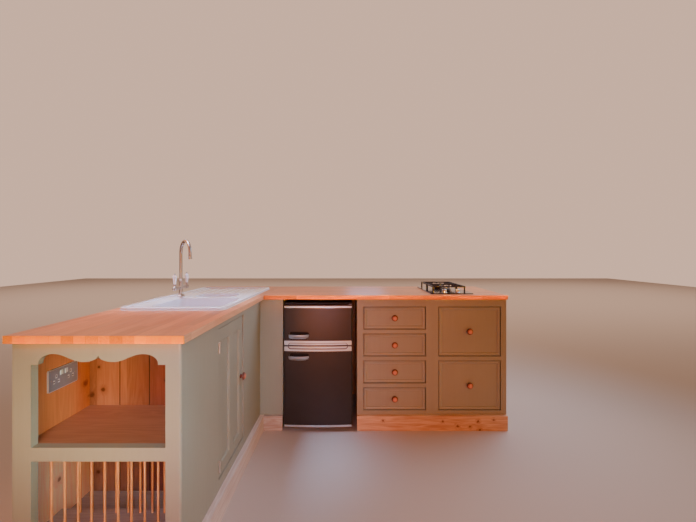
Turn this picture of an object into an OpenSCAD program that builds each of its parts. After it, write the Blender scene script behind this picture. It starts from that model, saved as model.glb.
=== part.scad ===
/* [Overall] */
// Width of the kitchen from wall to wall
run_w = 2247; // [2100:1:2400]
// Length of the side run from the back wall to its near end
run_l = 1750; // [1700:1:1850]
// Height of the worktops
worktop_h = 900; // [880:1:920]
// Thickness of the worktops
worktop_t = 27; // [22:0.5:36]
// Depth of both worktops
worktop_d = 622; // [600:1:650]
// Worktop overhang over the side run's face
overhang_side = 28; // [20:0.5:32]
// Worktop overhang over the back run's face
overhang_back = 23; // [20:0.5:32]
// Worktop overhang over the near end
overhang_end = 35; // [28:1:45]
// Height of the plinths
plinth_h = 98; // [85:1:110]
// Thickness of the near end's plinth
plinth_end_t = 28; // [18:1:28]

/* [Cabinet boards] */
// Thickness of the face frames
frame_t = 30; // [25:1:34]
// Thickness of side panels, shelves and floors
panel_t = 18; // [15:1:20]
// Thickness of back panels
back_t = 12; // [9:1:15]
// Height of the rail under doors and drawers, above the plinth
rail_low_h = 45; // [35:1:55]
// Height of the rail over doors and drawers
rail_top_h = 36; // [30:1:45]
// Gap round each door and drawer front
front_gap = 5; // [5:0.5:7]
// Thickness of doors and drawer fronts
front_t = 22; // [20:1:25]

/* [Open end] */
// Width of the end frame's wall stile
end_stile_wall_w = 65; // [50:1:80]
// Width of the end frame's corner stile
end_stile_corner_w = 54; // [45:1:70]
// Radius of the corner stile's rounded edge
end_stile_r = 8; // [4:1:12]
// Height of the niche shelf's top
shelf_h = 497; // [470:1:530]
// Height of the rail in front of the niche shelf
end_mid_rail_h = 48; // [40:1:60]
// Depth of the niche behind the end frame
niche_d = 316; // [280:1:340]
// Thickness of the niche's board lining
lining_t = 18; // [15:1:20]
// Width of one lining board
lining_board_w = 134; // [120:1:160]
// Width and depth of the groove between lining boards
lining_groove = 4; // [2:0.5:6]
// Thickness of the scalloped valance
valance_t = 22; // [18:1:28]
// Drop of the valance's flat ends
valance_drop = 83; // [75:1:95]
// Drop of the valance at its two crests
valance_crest_drop = 45; // [40:1:50]
// Drop of the valance's two lobes
valance_lobe_drop = 73.5; // [65:0.5:80]
// Drop of the valance at its middle point
valance_point_drop = 49; // [42:1:56]
// Width of each flat end of the valance
valance_end_w = 26; // [20:1:34]

/* [Dowel rack] */
// Dowels in each row
rack_dowel_count = 9; // [7:1:9]
// Diameter of a dowel
rack_dowel_d = 8; // [6:0.5:12]
// Spacing of the dowels in a row
rack_dowel_pitch = 48.3; // [40:0.1:50]
// Spacing of the two rows
rack_row_gap = 136; // [120:1:145]
// Gap between the front dowels and the end frame
rack_front_gap = 1; // [0.3:0.1:3]
// Width of the base board behind the rear dowels
rack_base_lip = 17; // [10:1:25]
// Drop of the floor behind the rack's base board
rack_step = 33; // [20:1:40]

/* [Cupboard] */
// Width of the stile at the cupboard's near side
cup_stile_near_w = 50; // [40:1:60]
// Distance of the opening's near edge behind the niche's partition
cup_reveal = 4; // [2:0.5:8]
// Width of the cupboard's opening
cup_open_w = 378; // [350:1:390]
// Set-back of the cupboard door's front behind the face frame
door_set_back = 5; // [4:0.5:7]
// Width of the door's stiles
door_stile_w = 48; // [42:1:56]
// Width of the door's middle muntin
door_muntin_w = 44; // [38:1:52]
// Height of the door's bottom rail
door_rail_low_h = 41; // [36:1:60]
// Height of the door's top rail
door_rail_top_h = 59; // [45:1:70]
// Depth of the door's sunk panels
door_sink_d = 10; // [7:0.5:12]
// Width of the moulding round each sunk panel
door_mould_w = 12; // [8:0.5:15]
// Height of the door knob
door_knob_h = 503; // [480:1:560]
// Distance of the door knob from the door's closing edge
door_knob_inset = 34; // [28:1:42]
// Height of a butt hinge
butt_h = 52; // [40:1:65]
// Radius of a hinge knuckle
knuckle_r = 3.5; // [3.2:0.1:4.5]
// Radius of a hinge pin
butt_pin_r = 1.5; // [1:0.1:2]
// Running gap in a hinge
butt_gap = 0.3; // [0.2:0.1:0.4]
// Thickness of a hinge leaf
leaf_t = 1.2; // [1:0.1:1.5]
// Width of a hinge leaf
leaf_w = 20; // [14:1:24]
// Height of the lower hinge's middle above the opening's lower edge
butt_low_up = 64; // [50:1:90]
// Drop of the upper hinge's middle below the opening's upper edge
butt_top_down = 87; // [60:1:110]

/* [Drawers] */
// Width of the unit's stile beside the fridge bay
unit_stile_bay_w = 44; // [40:1:55]
// Width of the unit's middle stile
unit_stile_mid_w = 84; // [70:1:95]
// Width of the unit's stile at the wall
unit_stile_wall_w = 37; // [32:1:50]
// Height of the rail under the drawers, above the plinth
unit_rail_low_h = 28; // [24:1:40]
// Height of the rail over the drawers
unit_rail_top_h = 51; // [36:1:56]
// Set-back of the drawer fronts behind the unit's face
drawer_set_back = 4; // [1:0.5:6]
// Height of the rails between drawers
drawer_rail_h = 28; // [24:1:36]
// Width of the moulding on a drawer front
drawer_mould_w = 15; // [10:1:18]
// Depth of the field on a drawer front
drawer_sink_d = 6; // [4:0.5:8]
// Width of the flat lip round a drawer front
drawer_lip_w = 4; // [3:0.5:8]
// Depth of a drawer box
drawer_box_d = 450; // [400:1:480]
// Height of a small drawer box
drawer_box_h = 105; // [80:1:115]
// Height of a deep drawer box
deep_box_h = 240; // [180:1:280]
// Thickness of a drawer box's walls
drawer_wall_t = 12; // [10:1:15]
// Thickness of a drawer box's bottom
drawer_bottom_t = 6; // [5:0.5:9]
// Gap beside a drawer box in its opening
drawer_side_gap = 10; // [8:0.5:13]
// Height of a drawer runner
runner_h = 20; // [16:1:26]
// Running gap between a drawer box and its runners
runner_gap = 0.3; // [0.3:0.1:0.8]

/* [Knobs] */
// Diameter of a turned knob
knob_d = 42; // [34:1:44]
// Length of a turned knob
knob_l = 30; // [26:1:36]
// Diameter of a knob's foot
knob_foot_d = 24; // [20:1:28]
// Diameter of a knob's neck
knob_neck_d = 16; // [12:1:20]

/* [Fridge] */
// Width of the corner filler panel
corner_filler_w = 153.5; // [145:0.5:165]
// Width of the fridge and freezer
fridge_w = 456; // [450:1:458]
// Gap between the fridge and the bay's left side
fridge_gap = 9.4; // [9:0.1:12]
// Gap between the fridge and the drawer unit
fridge_gap_far = 31.1; // [28:0.1:36]
// Gap between the fridge's top and the worktop
fridge_top_gap = 28; // [22:1:34]
// Depth of the fridge's cabinet behind its doors
fridge_d = 470; // [440:1:500]
// Distance of the doors' fronts before the face frames
fridge_door_out = 40; // [36:1:44]
// Bow of the doors' fronts
fridge_bow = 12; // [8:1:14]
// Thickness of the doors at their middle
fridge_door_t = 56; // [52:1:60]
// Gap between the doors and the cabinet
fridge_seal_gap = 10; // [8:0.5:12]
// Height of the feet
fridge_foot_h = 20; // [14:1:26]
// Thickness of the cabinet's walls
fridge_wall_t = 34; // [28:1:40]
// Depth of the hollow in the doors' backs
door_liner_d = 15; // [10:1:20]
// Width of the sealing rim round that hollow
door_rim_w = 49; // [42:1:56]
// Thickness of a hinge plate
bracket_t = 4; // [3:0.5:5]
// Thickness of a glass shelf
glass_t = 5; // [4:0.5:6]
// Set-back of the glass shelves behind the cabinet's front
glass_set_back = 20; // [10:1:40]
// Height of the lower door's bottom edge
fridge_door_low_h = 34.5; // [30:0.5:45]
// Height of the gap between the two doors
door_split_h = 569; // [540:1:590]
// Drop of the freezer door's top edge below the fridge's top
freezer_door_drop = 7; // [6:0.5:12]
// Rounding of the doors' upright edges
fridge_edge_r = 12; // [8:1:16]
// Width of a lip handle
handle_w = 140; // [120:1:150]
// Height of a lip handle
handle_h = 27; // [24:1:30]
// Reach of a lip handle in front of its door
handle_out = 16; // [14:1:20]
// Thickness of a lip handle
handle_t = 3; // [2.5:0.5:4]
// Place of the handles' ends from the doors' free edge
handle_inset = 34; // [28:1:44]
// Height of the freezer handle above its door's lower edge
freezer_handle_up = 44.5; // [40:0.5:60]
// Drop of the fridge handle's lower edge below its door's upper edge
fridge_handle_down = 92.5; // [86:0.5:110]
// Depth of the finger recess behind a handle
grip_d = 18; // [16:1:20]
// Height of a finger recess
grip_h = 42; // [38:1:46]
// Distance of a finger recess's ends inside the handle's
grip_inset = 5; // [4:1:10]
// Thickness of the trims at the doors' top and foot
trim_t = 4; // [3:0.5:5]
// Height of the trim at the freezer door's top
top_trim_h = 11; // [8:0.5:14]
// Drop of that trim below the door's top edge
top_trim_drop = 7; // [4:0.5:10]
// Height of the trim at the fridge door's foot
low_trim_h = 11; // [9:0.5:14]
// Distance of the trims' ends from the doors' sides
trim_end_gap = 6; // [5:0.5:12]
// Height of the trims beside the gap between the doors
split_trim_h = 31; // [28:0.5:34]
// Thickness of the trims beside the gap between the doors
split_trim_t = 8.5; // [8:0.5:9]
// Height of the long hollow across those two trims
trim_hollow_h = 42; // [38:1:46]
// Depth of the long hollow
trim_hollow_d = 5; // [4:0.5:6]
// Distance of the long hollow's ends from the doors' edges
trim_hollow_inset = 30; // [26:1:40]
// Distance of the hinge pins from the doors' hung edge
pin_inset = 12; // [11:0.5:14]
// Distance of the hinge pins behind the doors' fronts
pin_back = 40; // [36:1:42]
// Diameter of the hinge pins
pin_d = 6; // [5:0.5:8]
// Length of the hinge pins in the doors
pin_l = 8; // [6:1:12]
// Running gap at the hinge pins
pin_gap = 0.3; // [0.2:0.1:0.5]
// Gap between the two doors
split_gap = 5; // [5:0.5:8]

/* [Sink] */
// Length of the sink
sink_l = 1034; // [1000:1:1050]
// Distance of the sink's near end from the near end of the run
sink_start = 527; // [500:1:560]
// Distance of the sink from the wall
sink_wall_gap = 44; // [38:1:50]
// Distance of the sink from the worktop's front edge
sink_front_gap = 52; // [48:1:60]
// Height of the rim over the worktop
sink_rim_h = 15; // [10:0.5:18]
// Corner radius of the rim
sink_r = 38; // [34:1:46]
// Rounding of the rim's upper edge
sink_edge_r = 7; // [4:0.5:9]
// Width of the raised bead round the rim
sink_bead_w = 22; // [16:1:26]
// Depth of the deck below the bead
sink_deck_d = 4; // [2:0.5:5]
// Bearing of the rim on the worktop
sink_bearing = 14; // [10:1:17]
// Thickness of the ceramic walls
sink_wall_t = 11; // [9:0.5:14]
// Length of the main bowl
bowl_l = 350; // [330:1:360]
// Width of the ledge beside the main bowl on the wall side, which carries the tap
tap_ledge_w = 128; // [122:1:134]
// Depth of the main bowl
bowl_d = 190; // [160:1:210]
// Corner radius of the main bowl
bowl_r = 50; // [35:1:60]
// Length of the half bowl
half_bowl_l = 180; // [165:1:190]
// Depth of the half bowl
half_bowl_d = 120; // [90:1:140]
// Corner radius of the half bowl
half_bowl_r = 40; // [30:1:50]
// Rounding of the bowls' floor edges
bowl_floor_r = 24; // [18:1:30]
// Rim left beside the main bowl on the front side
bowl_margin = 31; // [29:1:36]
// Rim left before the main bowl at the near end
bowl_margin_near = 44; // [38:1:50]
// Set-back of the half bowl's front side from the main bowl's
half_bowl_inset = 68; // [60:1:80]
// Set-back of the half bowl's wall side from the main bowl's
half_bowl_wall_inset = 45; // [35:1:55]
// Rim between the two bowls
bowl_bridge = 50; // [40:1:60]
// Length of the drainer
drainer_l = 340; // [320:1:350]
// Rim beside the drainer on each side
drainer_margin = 63; // [50:1:75]
// Corner radius of the drainer
drainer_r = 22; // [18:1:30]
// Gap between the half bowl and the drainer
drainer_gap = 24; // [18:1:30]
// Depth of the drainer's sunk field
drainer_d = 3; // [2:0.5:3.5]
// Number of grooves in the drainer
drainer_grooves = 7; // [5:1:8]
// Width of a groove
groove_w = 16; // [10:1:22]
// Depth of a groove
groove_d = 3; // [2:0.5:3.5]
// Diameter of the waste holes
waste_d = 60; // [50:1:70]
// Diameter of the waste flanges
waste_flange_d = 84; // [76:1:90]
// Gap round a waste's body in its hole
waste_gap = 0.5; // [0.3:0.1:1]
// Depth of a waste's basket and body
waste_body_l = 60; // [50:1:70]
// Diameter of a waste's tail pipe
waste_tail_d = 40; // [32:1:44]
// Length of a waste's tail pipe
waste_tail_l = 38; // [30:1:50]

/* [Tap] */
// Place of the tap from the wall
tap_wall_gap = 131.5; // [125:0.5:138]
// Place of the tap from the near end of the run
tap_start = 1006; // [990:1:1020]
// Diameter of the tap's base flange
tap_base_d = 46; // [40:1:50]
// Height of the cross arm above the sink's deck
tap_arm_h = 55; // [48:1:62]
// Distance of the cross arm's ends from the tap's axis
tap_arm_l = 66; // [58:1:75]
// Diameter of the cross arm
tap_arm_d = 17; // [14:0.5:20]
// Height of the spout's seat above the cross arm
tap_collar_h = 44; // [38:1:50]
// Diameter of the spout tube
spout_d = 19; // [16:0.5:22]
// Reach of the spout
spout_reach = 149; // [120:1:170]
// Height of the highest point of the spout above the sink's deck
spout_top_h = 356; // [320:1:380]
// Length of the straight drop at the spout's end
spout_drop = 28; // [20:1:50]
// Swivel of the spout at rest, from straight out towards the near end
spout_rest_deg = 45; // [0:1:60]
// Diameter of the spout's spigot in the body
spigot_d = 12; // [10:0.5:13]
// Length of the spout's spigot
spigot_l = 16; // [10:1:20]
// Running gap of the spout and the levers
tap_gap = 0.3; // [0.2:0.1:0.5]
// Diameter of a lever's hub
lever_hub_d = 24; // [20:1:28]
// Length of a lever's hub
lever_hub_l = 24; // [20:1:28]
// Diameter of the hub's spindle
spindle_d = 8; // [6:0.5:10]
// Height of a lever's foot above the cross arm
lever_foot_h = 26; // [22:1:30]
// Height of a lever's tip above the cross arm
lever_tip_h = 84; // [75:1:92]
// Diameter of a lever at its foot
lever_foot_d = 14; // [12:0.5:16]
// Diameter of a lever at its widest
lever_top_d = 24; // [20:0.5:28]
// Height of the metal button on a lever
lever_button_h = 7; // [5:0.5:9]
// Diameter of the metal button on a lever
lever_button_d = 11; // [9:0.5:12]

/* [Hob] */
// Width of the hob
hob_w = 294; // [285:1:300]
// Length of the hob from front to back
hob_l = 485; // [470:1:500]
// Gap between the hob's tray and the drawer unit's middle panel
hob_panel_gap = 7.5; // [6:0.5:12]
// Distance of the hob from the worktop's front edge
hob_front_gap = 68; // [60:1:75]
// Thickness of the hob's plate
hob_plate_t = 6; // [4:0.5:8]
// Corner radius of the plate
hob_r = 14; // [8:1:20]
// Bearing of the plate on the worktop
hob_bearing = 13; // [10:1:18]
// Gap between the tray and the cut in the worktop
hob_tray_gap = 1; // [0.5:0.5:3]
// Depth of the tray below the worktop's top
hob_tray_d = 46; // [40:1:50]
// Height of the pan supports above the worktop
hob_support_h = 48; // [40:1:52]
// Width of a pan support
support_w = 232; // [215:1:245]
// Length of a pan support
support_l = 190; // [175:1:195]
// Thickness of a pan support's bars
support_bar = 9; // [7:0.5:11]
// Length of the fingers of a pan support
support_finger_l = 62; // [50:1:68]
// Distance of the front burner from the plate's front edge
burner_front = 178; // [172:1:185]
// Distance between the two burners
burner_pitch = 200; // [198:1:206]
// Diameter of the front burner
burner_front_d = 76; // [60:1:84]
// Diameter of the rear burner
burner_rear_d = 100; // [80:1:104]
// Diameter of a hob knob
hob_knob_d = 40; // [34:1:44]
// Height of a hob knob
hob_knob_h = 24; // [18:1:28]
// Spacing of the two hob knobs
hob_knob_pitch = 90; // [70:1:120]
// Distance of the hob knobs from the plate's front edge
hob_knob_front = 40; // [34:1:46]
// Running gap under a hob knob
hob_knob_gap = 0.3; // [0.2:0.1:0.5]

/* [Socket] */
// Width of the socket plate
socket_w = 146; // [140:1:150]
// Height of the socket plate
socket_h = 86; // [80:1:90]
// Thickness of the socket plate
socket_t = 6; // [4:0.5:9]
// Distance of the plate's middle from the near end of the run
socket_start = 229; // [215:1:250]
// Height of the plate's middle above the niche shelf
socket_up = 185; // [160:1:210]
// Spacing of the plate's two outlets
socket_pitch = 72; // [68:1:76]
// Depth of the pin slots
socket_slot_d = 3; // [2:0.5:4]
// Length of the upper pin slot, and height of its foot above the outlet's middle
socket_slot_l = 8; // [7:0.5:9]
// Width of a pin slot
socket_slot_w = 4; // [3.5:0.5:5]
// Distance of the two lower pin slots from the outlet's upright middle line
socket_slot_x = 11; // [10:0.5:12]
// Width of a rocker switch
rocker_w = 12; // [10:1:14]
// Height of a rocker switch
rocker_h = 18; // [15:1:20]
// Thickness of a rocker switch
rocker_t = 3; // [2:0.5:4]

/* [Hidden] */
$fn = 48;
eps = 1;
small_drawer_count = 4;
deep_drawer_count = 2;
paint = [0.59, 0.56, 0.47];
pine = [0.80, 0.52, 0.30];
pale_pine = [0.85, 0.68, 0.50];
oak = [0.80, 0.48, 0.32];
turned_wood = [0.60, 0.28, 0.17];
steel = [0.76, 0.75, 0.72];
chrome = [0.82, 0.82, 0.84];
ceramic = [0.95, 0.94, 0.91];
black = [0.07, 0.07, 0.08];
iron = [0.12, 0.12, 0.12];

// Walls, edges and faces that everything else lines up with
left_wall = -run_w / 2;
right_wall = run_w / 2;
back_wall = run_l / 2;
near_end = -run_l / 2;
under_h = worktop_h - worktop_t;
side_edge = left_wall + worktop_d;
side_face = side_edge - overhang_side;
back_edge = back_wall - worktop_d;
back_face = back_edge + overhang_back;
end_face = near_end + overhang_end;
open_low_h = plinth_h + rail_low_h;
open_top_h = under_h - rail_top_h;

// Open end
niche_x0 = left_wall + lining_t;
niche_x1 = side_face - panel_t;
end_open_x0 = left_wall + end_stile_wall_w;
end_open_x1 = side_face - end_stile_corner_w;
end_open_w = end_open_x1 - end_open_x0;
end_mid_x = (end_open_x0 + end_open_x1) / 2;
end_back = end_face + frame_t;
niche_back = end_back + niche_d;
partition_back = niche_back + back_t;
shelf_under_h = shelf_h - panel_t;
rack_row_front = end_back + rack_front_gap + rack_dowel_d / 2;
rack_row_rear = rack_row_front + rack_row_gap;
rack_base_end = rack_row_rear + rack_dowel_d / 2 + rack_base_lip;
rack_low_h = open_low_h - rack_step;

// Cupboard
cup_open_y0 = partition_back + cup_reveal;
cup_open_y1 = cup_open_y0 + cup_open_w;
cup_near = cup_open_y0 - cup_stile_near_w;
door_y0 = cup_open_y0 + front_gap;
door_y1 = cup_open_y1 - front_gap;
door_z0 = open_low_h + front_gap;
door_z1 = open_top_h - front_gap;
knuckle_x = side_face + knuckle_r + butt_gap;
knuckle_y = cup_open_y0 + front_gap / 2;
butt_z = [open_low_h + butt_low_up - butt_h / 2, open_top_h - butt_top_down - butt_h / 2];

// Fridge bay and drawer unit
bay_x0 = side_face + corner_filler_w;
fridge_x0 = bay_x0 + fridge_gap;
fridge_x1 = fridge_x0 + fridge_w;
unit_x0 = fridge_x1 + fridge_gap_far;
unit_x1 = right_wall;
unit_stiles_w = unit_stile_bay_w + unit_stile_mid_w + unit_stile_wall_w;
drawer_open_w = (unit_x1 - unit_x0 - unit_stiles_w) / 2;
mid_stile_x0 = unit_x0 + unit_stile_bay_w + drawer_open_w;
col_x0 = [unit_x0 + unit_stile_bay_w, mid_stile_x0 + unit_stile_mid_w];
mid_panel_x = mid_stile_x0 + unit_stile_mid_w / 2;
unit_back = back_wall - back_t;
frame_back = back_face + frame_t;
unit_top_h = under_h - unit_rail_top_h;
open_total_h = unit_top_h - plinth_h - unit_rail_low_h;
small_open_h = (open_total_h - (small_drawer_count - 1) * drawer_rail_h) / small_drawer_count;
deep_open_h = (open_total_h - (deep_drawer_count - 1) * drawer_rail_h) / deep_drawer_count;
small_step = small_open_h + drawer_rail_h;
deep_step = deep_open_h + drawer_rail_h;
small_z0 = [for (i = [0:small_drawer_count - 1]) unit_top_h - small_open_h - i * small_step];
deep_z0 = [for (i = [0:deep_drawer_count - 1]) unit_top_h - deep_open_h - i * deep_step];

// Fridge
fridge_h = under_h - fridge_top_gap;
fridge_mid_x = (fridge_x0 + fridge_x1) / 2;
freezer_door_top_h = fridge_h - freezer_door_drop;
fridge_front = back_face - fridge_door_out;
bow_r = (pow(fridge_w / 2, 2) + pow(fridge_bow, 2)) / (2 * fridge_bow);
bow_y = fridge_front + bow_r;
door_edge_y = bow_y - sqrt(pow(bow_r, 2) - pow(fridge_w / 2 - fridge_edge_r, 2)) + fridge_edge_r;
handle_x = fridge_x0 + handle_inset + handle_w / 2;
handle_r = (pow(handle_w / 2, 2) + pow(handle_out, 2)) / (2 * handle_out);
handle_y = bow_y - sqrt(pow(bow_r, 2) - pow(handle_x - fridge_mid_x, 2)) + handle_r - handle_out;
fridge_door_back = fridge_front + fridge_door_t;
fridge_body_y0 = fridge_door_back + fridge_seal_gap;
fridge_body_y1 = fridge_body_y0 + fridge_d;
freezer_z0 = door_split_h + split_gap / 2;
fridge_z1 = door_split_h - split_gap / 2;
freezer_handle_h = freezer_z0 + freezer_handle_up;
fridge_handle_h = fridge_z1 - fridge_handle_down;
pin_x = fridge_x1 - pin_inset;
pin_y = fridge_front + pin_back;

// Sink
sink_w = worktop_d - sink_wall_gap - sink_front_gap;
sink_x0 = left_wall + sink_wall_gap;
sink_x1 = sink_x0 + sink_w;
sink_y0 = near_end + sink_start;
sink_y1 = sink_y0 + sink_l;
sink_top = worktop_h + sink_rim_h;
sink_deck = sink_top - sink_deck_d;
bowl_w = sink_w - bowl_margin - tap_ledge_w;
half_bowl_w = bowl_w - half_bowl_inset - half_bowl_wall_inset;
drainer_w = sink_w - 2 * drainer_margin;
bowl_x1 = sink_x1 - bowl_margin;
bowl_x0 = bowl_x1 - bowl_w;
bowl_y0 = sink_y0 + bowl_margin_near;
bowl_y1 = bowl_y0 + bowl_l;
half_y0 = bowl_y1 + bowl_bridge;
half_y1 = half_y0 + half_bowl_l;
half_x1 = bowl_x1 - half_bowl_inset;
half_x0 = half_x1 - half_bowl_w;
drainer_y0 = half_y1 + drainer_gap;
drainer_x0 = sink_x0 + drainer_margin;
drainer_z = sink_deck - drainer_d;
bowl_floor = sink_top - bowl_d;
half_floor = sink_top - half_bowl_d;

// Tap
tap_x = left_wall + tap_wall_gap;
tap_y = near_end + tap_start;
tap_arm_z = sink_deck + tap_arm_h;
spout_seat_z = tap_arm_z + tap_collar_h;
spout_top_z = sink_deck + spout_top_h;

// Hob
hob_tray_x0 = mid_panel_x + panel_t / 2 + hob_panel_gap;
hob_x0 = hob_tray_x0 - hob_bearing - hob_tray_gap;
hob_x1 = hob_x0 + hob_w;
hob_y0 = back_edge + hob_front_gap;
hob_y1 = hob_y0 + hob_l;
hob_mid_x = (hob_x0 + hob_x1) / 2;
hob_top = worktop_h + hob_plate_t;

// A box between two corners
module block(x0, x1, y0, y1, z0, z1) {
    translate([x0, y0, z0])
        cube([x1 - x0, y1 - y0, z1 - z0]);
}

// A flat rectangle with round corners, its near left corner at the origin
module round_rect(w, l, r) {
    translate([r, 0])
        square([w - 2 * r, l]);
    translate([0, r])
        square([w, l - 2 * r]);
    for (x = [r, w - r], y = [r, l - r])
        translate([x, y])
            circle(r);
}

module round_block(x0, x1, y0, y1, z0, z1, r) {
    translate([x0, y0, z0])
        linear_extrude(z1 - z0)
            round_rect(x1 - x0, y1 - y0, r);
}

// Outer part of a tub's section: its lower edge is rounded by f
module tub_edge(r, h, f) {
    translate([0, f])
        square([r, h - f]);
    square([r - f, f]);
    intersection() {
        translate([r - f, f])
            circle(f);
        translate([r - f, 0])
            square(f);
    }
}

// A block with round corners and a rounded lower edge, in touching parts
module tub(x0, x1, y0, y1, z0, z1, r, edge_r) {
    f = min(edge_r, r);
    w = x1 - x0 - 2 * r;
    l = y1 - y0 - 2 * r;
    translate([(x0 + x1) / 2, (y0 + y1) / 2, z0]) {
        translate([-w / 2, -l / 2, 0])
            cube([w, l, z1 - z0]);
        for (a = [0, 180])
            rotate([0, 0, a]) {
                translate([w / 2, 0, 0])
                    rotate([90, 0, 0])
                        linear_extrude(l, center = true)
                            tub_edge(r, z1 - z0, f);
                translate([0, l / 2, 0])
                    rotate([90, 0, 90])
                        linear_extrude(w, center = true)
                            tub_edge(r, z1 - z0, f);
                translate([w / 2, l / 2, 0])
                    rotate_extrude(angle = 90)
                        tub_edge(r, z1 - z0, f);
                translate([-w / 2, l / 2, 0])
                    rotate([0, 0, 90])
                        rotate_extrude(angle = 90)
                            tub_edge(r, z1 - z0, f);
            }
    }
}

// Section of a hollow with a moulded edge, sunk below the face at zero
function ovolo(half, w, d) = [for (i = [0:4]) [half - w * sin(i * 22.5), -d * (1 - cos(i * 22.5))]];

module hollow_section(half, w, d) {
    edge = ovolo(half, w, d);
    mirrored = [for (i = [len(edge) - 1:-1:0]) [-edge[i][0], edge[i][1]]];
    polygon(concat([[half, eps]], edge, mirrored, [[-half, eps]]));
}

module hollow_prism(half, w, d, l) {
    rotate([90, 0, 0])
        translate([0, 0, -l / 2])
            linear_extrude(l)
                hollow_section(half, w, d);
}

// Rectangular hollow whose four mouldings meet in mitres
module mitred_hollow(w, h, mould_w, d) {
    intersection() {
        hollow_prism(w / 2, mould_w, d, h + 2);
        rotate([0, 0, 90])
            hollow_prism(h / 2, mould_w, d, w + 2);
    }
}

// Places a piece that is drawn facing up on the cupboard door's front
module on_door_front(y, z) {
    translate([side_face - door_set_back, y, z])
        rotate([90, 0, 90])
            children();
}

// Places a piece that is drawn facing up on the front of a drawer
module on_drawer_front(x, z) {
    translate([x, back_face + drawer_set_back, z])
        rotate([90, 0, 0])
            children();
}

// Turned knob standing on the plane at zero
module turned_knob() {
    r = knob_d / 2;
    cap_z = knob_l - r * 0.62;
    color(turned_wood)
        rotate_extrude()
            polygon(concat(
                [[0, 0], [knob_foot_d / 2, 0], [knob_foot_d / 2, 3], [knob_neck_d / 2, 7],
                    [knob_neck_d / 2, cap_z - 7], [r * 0.86, cap_z - 3]],
                [for (a = [0:15:90]) [r * cos(a), cap_z + (knob_l - cap_z) * sin(a)]]));
}

module worktop_left() {
    color(oak)
        difference() {
            block(left_wall, side_edge, near_end, back_wall, under_h, worktop_h);
            round_block(sink_x0 + sink_bearing, sink_x1 - sink_bearing, sink_y0 + sink_bearing,
                sink_y1 - sink_bearing, under_h - eps, worktop_h + eps, sink_r - sink_bearing);
        }
}

module worktop_back() {
    color(oak)
        difference() {
            block(side_edge, right_wall, back_edge, back_wall, under_h, worktop_h);
            block(hob_x0 + hob_bearing, hob_x1 - hob_bearing, hob_y0 + hob_bearing,
                hob_y1 - hob_bearing, under_h - eps, worktop_h + eps);
        }
}

module end_frame() {
    color(paint) {
        block(left_wall, end_open_x0, end_face, end_back, 0, under_h);
        difference() {
            block(end_open_x1, side_face, end_face, end_back, 0, under_h);
            translate([side_face - end_stile_r, end_face + end_stile_r, -eps])
                difference() {
                    translate([0, -end_stile_r - eps, 0])
                        cube([end_stile_r + eps, end_stile_r + eps, under_h + 2 * eps]);
                    cylinder(r = end_stile_r, h = under_h + 2 * eps);
                }
        }
        block(end_open_x0, end_open_x1, end_face, end_back, 0, open_low_h);
        block(end_open_x0, end_open_x1, end_face, end_back, shelf_h - end_mid_rail_h, shelf_h);
    }
}

// Lower edge of one half of the valance, from its middle point outwards
function valance_edge(steps) = let (
        flat_x = end_open_w / 2 - valance_end_w,
        crest_x = flat_x * 0.75,
        lobe_x = flat_x * 0.25,
        start_drop = (valance_drop + valance_lobe_drop) / 2
    ) concat(
        [for (i = [0:steps]) let (a = 90 * i / steps)
            [lobe_x * (1 - cos(a)), valance_point_drop + (valance_lobe_drop - valance_point_drop) * sin(a)]],
        [for (i = [1:2 * steps]) let (t = i / (2 * steps))
            [lobe_x + (crest_x - lobe_x) * t,
                valance_lobe_drop + (valance_crest_drop - valance_lobe_drop) * (1 - cos(180 * t)) / 2]],
        [for (i = [1:steps]) let (a = 90 * i / steps)
            [crest_x + (flat_x - crest_x) * sin(a),
                valance_crest_drop + (start_drop - valance_crest_drop) * (1 - cos(a))]],
        [[flat_x, valance_drop], [end_open_w / 2, valance_drop]]);

module end_valance() {
    edge = valance_edge(8);
    far = [for (p = edge) [p[0], -p[1]]];
    near = [for (i = [len(edge) - 1:-1:1]) [-edge[i][0], -edge[i][1]]];
    color(paint)
        translate([end_mid_x, end_face + valance_t, under_h])
            rotate([90, 0, 0])
                linear_extrude(valance_t)
                    polygon(concat(near, far, [[end_open_w / 2, 0], [-end_open_w / 2, 0]]));
}

module end_side_panel() {
    color(paint)
        block(niche_x1, side_face, end_back, cup_near, 0, under_h);
}

module niche_side_boards() {
    color(pine)
        block(left_wall, niche_x0, end_back, niche_back, 0, under_h);
}

module niche_back_boards() {
    color(pine)
        difference() {
            block(left_wall, niche_x1, niche_back, partition_back, 0, under_h);
            for (x = [niche_x0 + lining_board_w:lining_board_w:niche_x1 - lining_groove])
                block(x, x + lining_groove, niche_back - eps, niche_back + lining_groove / 2,
                    -eps, under_h + eps);
        }
}

module niche_shelf() {
    color(pale_pine)
        block(niche_x0, niche_x1, end_back, niche_back, shelf_under_h, shelf_h);
}

module rack_floor() {
    color(pale_pine) {
        block(niche_x0, niche_x1, end_back, rack_base_end, open_low_h - panel_t, open_low_h);
        block(niche_x0, niche_x1, rack_base_end - panel_t, rack_base_end,
            rack_low_h - panel_t, open_low_h - panel_t);
        block(niche_x0, niche_x1, rack_base_end, niche_back, rack_low_h - panel_t, rack_low_h);
    }
}

module rack_dowels() {
    span = (rack_dowel_count - 1) * rack_dowel_pitch;
    color(pine)
        for (i = [0:rack_dowel_count - 1], y = [rack_row_front, rack_row_rear])
            translate([end_mid_x - span / 2 + i * rack_dowel_pitch, y, open_low_h])
                cylinder(d = rack_dowel_d, h = shelf_under_h - open_low_h, $fn = 24);
}

module cupboard_frame() {
    x0 = side_face - frame_t;
    color(paint)
        difference() {
            block(x0, side_face, cup_near, frame_back, 0, under_h);
            block(x0 - eps, side_face + eps, cup_open_y0, cup_open_y1, open_low_h, open_top_h);
            block(x0 - eps, niche_x1, cup_near - eps, partition_back, -eps, under_h + eps);
        }
}

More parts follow.
